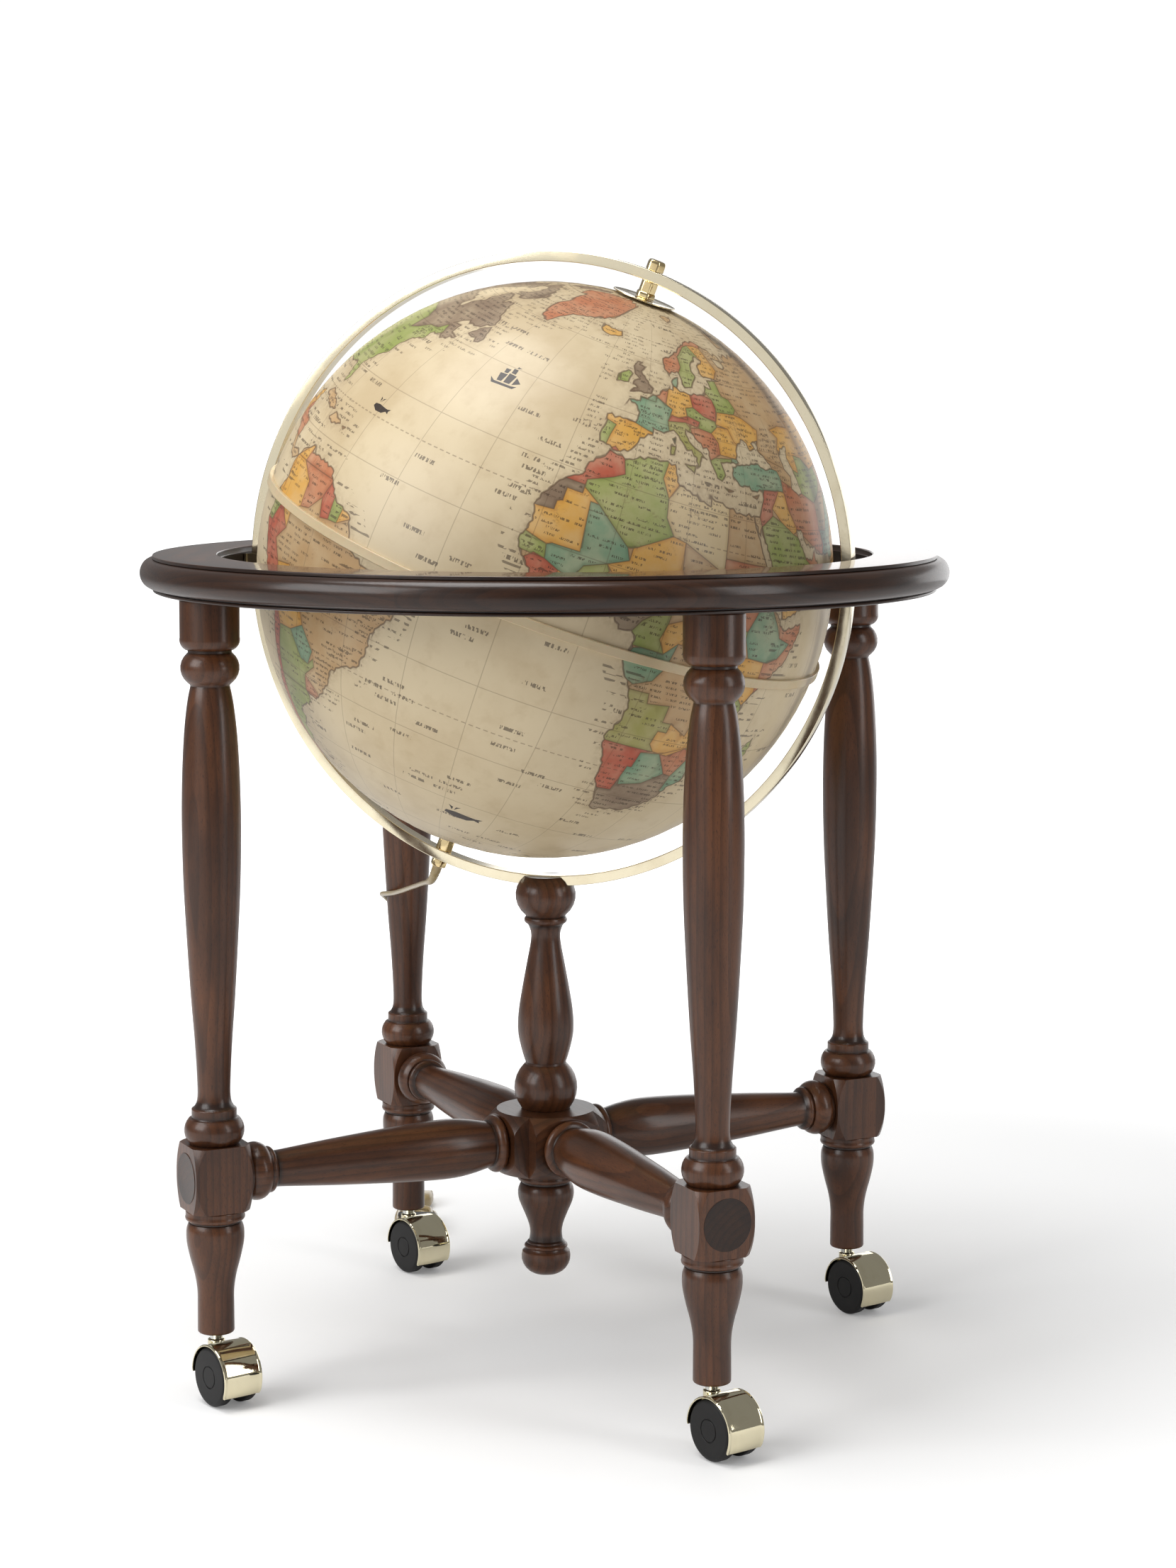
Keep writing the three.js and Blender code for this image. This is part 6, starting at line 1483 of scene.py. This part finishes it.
clouds = ramp(tree, noise(9.0, 6.0, 0.6), 0.38, 0.72)
paper = mix(tree, both(clouds, 0.6), PAPER, AGED)
paper = mix(tree, both(ramp(tree, noise(70.0, 4.0), 0.5, 0.75), 0.25), paper, AGED)
shoal = both(ramp(tree, coast, 2.4, 0.0), ramp(tree, noise(260.0, 2.0), 0.2, 0.8))
sea = mix(tree, both(shoal, 0.55), paper, (0.30, 0.215, 0.125, 1))
washed = mix(tree, both(ramp(tree, noise(34.0, 5.0), 0.3, 0.75), 0.38), tint.outputs["Color"], PAPER)
deep = both(ramp(tree, border, 0.9, 0.0), 0.35)
ground = mix(tree, deep, washed, mix(tree, 1.0, washed, tint.outputs["Color"], "MULTIPLY"))
hills = both(ramp(tree, noise(30.0, 5.0, 0.7), 0.56, 0.66), ramp(tree, noise(520.0, 2.0), 0.45, 0.62))
ground = mix(tree, both(hills, 0.4), ground, (0.16, 0.09, 0.045, 1))
drawn = mix(tree, ramp(tree, land, 0.0, 0.4, False), sea, tint.outputs["Color"])
sheet = mix(tree, ramp(tree, land, 0.55, 0.95, False), drawn, ground)
lines = calc(tree, "MAXIMUM", both(net(lon, 15.0, 0.16), ramp(tree, squeeze, 0.12, 0.3)), net(lat, 15.0, 0.16))
sheet = mix(tree, both(lines, 0.42), sheet, SEPIA)
for circle in (23.44, 66.56):
    off = calc(tree, "ABSOLUTE", calc(tree, "SUBTRACT", calc(tree, "ABSOLUTE", lat), circle))
    dash = calc(tree, "LESS_THAN", calc(tree, "FRACT", calc(tree, "DIVIDE", lon, 1.6)), 0.6)
    sheet = mix(tree, both(both(ramp(tree, off, 0.2, 0.0), dash), 0.6), sheet, SEPIA)
sheet = mix(tree, both(ramp(tree, border, 0.17, 0.05), both(land, 0.6)), sheet, SEPIA)
sheet = mix(tree, both(ramp(tree, coast, 0.26, 0.08), 0.75), sheet, SEPIA)


def small_print(pitch, word, share, shift):
    """Rows of marks: some cells of a row hold a word, and a word is a run of upright strokes."""
    line = calc(tree, "DIVIDE", calc(tree, "ADD", lat, shift), pitch)
    row = calc(tree, "FLOOR", line)
    height = calc(tree, "ABSOLUTE", calc(tree, "SUBTRACT", calc(tree, "FRACT", line), 0.5))
    east = both(calc(tree, "ADD", lon, both(row, 7.31)), calc(tree, "COSINE", both(row, pitch / to_degrees)))
    place = calc(tree, "DIVIDE", east, word)
    cell = node(tree, "CombineXYZ", X=calc(tree, "FLOOR", place), Y=row, Z=shift).outputs[0]
    chance = node(tree, "TexWhiteNoise", Vector=cell).outputs["Value"]
    within = calc(tree, "FRACT", place)
    ends = both(calc(tree, "GREATER_THAN", within, 0.08), calc(tree, "LESS_THAN", within, 0.86))
    strokes = noise(1.0, 1.0, 0.5, node(tree, "CombineXYZ", X=both(east, 5.2 / pitch), Y=both(lat, 1.4 / pitch),
                                        Z=row).outputs[0])
    inked = both(calc(tree, "LESS_THAN", height, 0.2), calc(tree, "GREATER_THAN", strokes, 0.5))
    return both(both(inked, ends), calc(tree, "LESS_THAN", chance, share))


on_country = both(small_print(1.15, 3.4, 0.55, 0.0), calc(tree, "GREATER_THAN", land, 0.9))
on_coast = both(small_print(1.2, 2.9, 0.55, 90.0), ramp(tree, coast, 4.0, 3.8, False))
on_sea = both(small_print(2.1, 6.0, 0.11, 180.0), calc(tree, "LESS_THAN", land, 0.1))
marks = calc(tree, "MAXIMUM", calc(tree, "MAXIMUM", on_country, on_sea), both(on_coast, 0.9))
clear_of_lines = ramp(tree, calc(tree, "MINIMUM", coast, border), 0.25, 0.5)
sheet = mix(tree, both(both(marks, clear_of_lines), 0.72), sheet, (0.055, 0.033, 0.02, 1))
tree.links.new(sheet, shader.inputs["Base Color"])
tree.links.new(node(tree, "MapRange", Value=noise(20.0, 5.0, 0.6), To_Min=0.36, To_Max=0.5).outputs[0],
               shader.inputs["Roughness"])
bump(tree, shader, noise(900.0, 2.0), 0.00002)
finish_piece(map_ball, "globe", printed_map, ("north_hemisphere", "south_hemisphere"))

# %% The band that hides the joint of the two halves
band = turn_on_lathe("equator_hoop", outline(
    (249.2, -4), (252.2, -4), (253, -3.2, 0.3), (253, 3.2), (252.2, 4, 0.3), (249.2, 4), (249.2, -4))[:-1],
    180, POLAR, closed=True)
finish_piece(band, "globe", band_tan, ("equator_band",))
print("map ball", len(ball_mesh.polygons), "faces; band", len(band.data.polygons))

# %% [markdown]
# ## Floor and light
# The studio is white to the eye, but a dark stain only looks dark when most of what it mirrors is dim.
# So the eye sees a white sky and a floor that brightens to white further out, while the pieces are lit
# by large soft panels: a key from the upper left front, a ceiling panel for the floor, a strip on the
# right for the legs' edges, a weak front fill that the brass mirrors, and a low panel behind that
# shows in the polished top of the ring.

# %% Floor
EDGE_START, EDGE_END, LIFT = 0.9, 2.2, 0.14
floor_mesh = bpy.data.meshes.new("floor")
floor_mesh.from_pydata([(-30, -8, -0.0005), (30, -8, -0.0005), (30, 60, -0.0005), (-30, 60, -0.0005)], [],
                       [(0, 1, 2, 3)])
floor = bpy.data.objects.new("floor", floor_mesh)
bpy.context.collection.objects.link(floor)
floor_white, tree, shader = new_material("floor white", Roughness=0.7, Emission_Color=(1, 1, 1, 1))
ground = node(tree, "TexCoord").outputs["Object"]
paint = node(tree, "TexNoise", Vector=ground, Scale=3.0, Detail=3.0).outputs[0]
tree.links.new(mix(tree, paint, (0.90, 0.90, 0.90, 1), (0.93, 0.93, 0.93, 1)), shader.inputs["Base Color"])
far = node(tree, "VectorMath", {"operation": "LENGTH"}, i0=ground).outputs["Value"]
glow = calc(tree, "MULTIPLY_ADD", ramp(tree, far, EDGE_START, EDGE_END), 1.0, LIFT)
seen = node(tree, "LightPath").outputs["Is Camera Ray"]
tree.links.new(calc(tree, "MULTIPLY", glow, seen), shader.inputs["Emission Strength"])
floor_mesh.materials.append(floor_white)


# %% Lights
def soft_box(name, spot, size, power, aim=(0, 0, 0.5)):
    data = bpy.data.lights.new(name, "AREA")
    data.shape = "RECTANGLE"
    data.size, data.size_y = size
    data.energy = power
    lamp = bpy.data.objects.new(name, data)
    lamp.location = spot
    lamp.rotation_mode = "QUATERNION"
    lamp.rotation_quaternion = (Vector(aim) - Vector(spot)).to_track_quat("-Z", "Y")
    lamp.visible_camera = False
    bpy.context.collection.objects.link(lamp)
    return lamp


soft_box("key", (-2.3, -2.7, 2.4), (2.6, 2.4), 92)
soft_box("ceiling", (-0.5, -0.5, 3.4), (1.8, 1.8), 68, (0, 0, 0))
soft_box("front fill", (-1.7, -4.6, 1.1), (4.0, 3.0), 21)
soft_box("side", (2.7, -0.6, 1.4), (0.8, 2.2), 20)
soft_box("behind", (0.4, 4.2, 0.9), (5.0, 1.6), 34, (0, 0, 0.7))
world = bpy.data.worlds.new("studio")
bpy.context.scene.world = world
world.use_nodes = True
sky = world.node_tree
dim, white = sky.nodes["Background"], sky.nodes.new("ShaderNodeBackground")
dim.inputs[0].default_value, dim.inputs[1].default_value = (1, 1, 1, 1), 0.25
white.inputs[0].default_value, white.inputs[1].default_value = (1, 1, 1, 1), 1.05
choose = sky.nodes.new("ShaderNodeMixShader")
sky.links.new(sky.nodes.new("ShaderNodeLightPath").outputs["Is Camera Ray"], choose.inputs[0])
sky.links.new(dim.outputs[0], choose.inputs[1])
sky.links.new(white.outputs[0], choose.inputs[2])
sky.links.new(choose.outputs[0], sky.nodes["World Output"].inputs[0])
bpy.context.scene.view_settings.view_transform = "Standard"
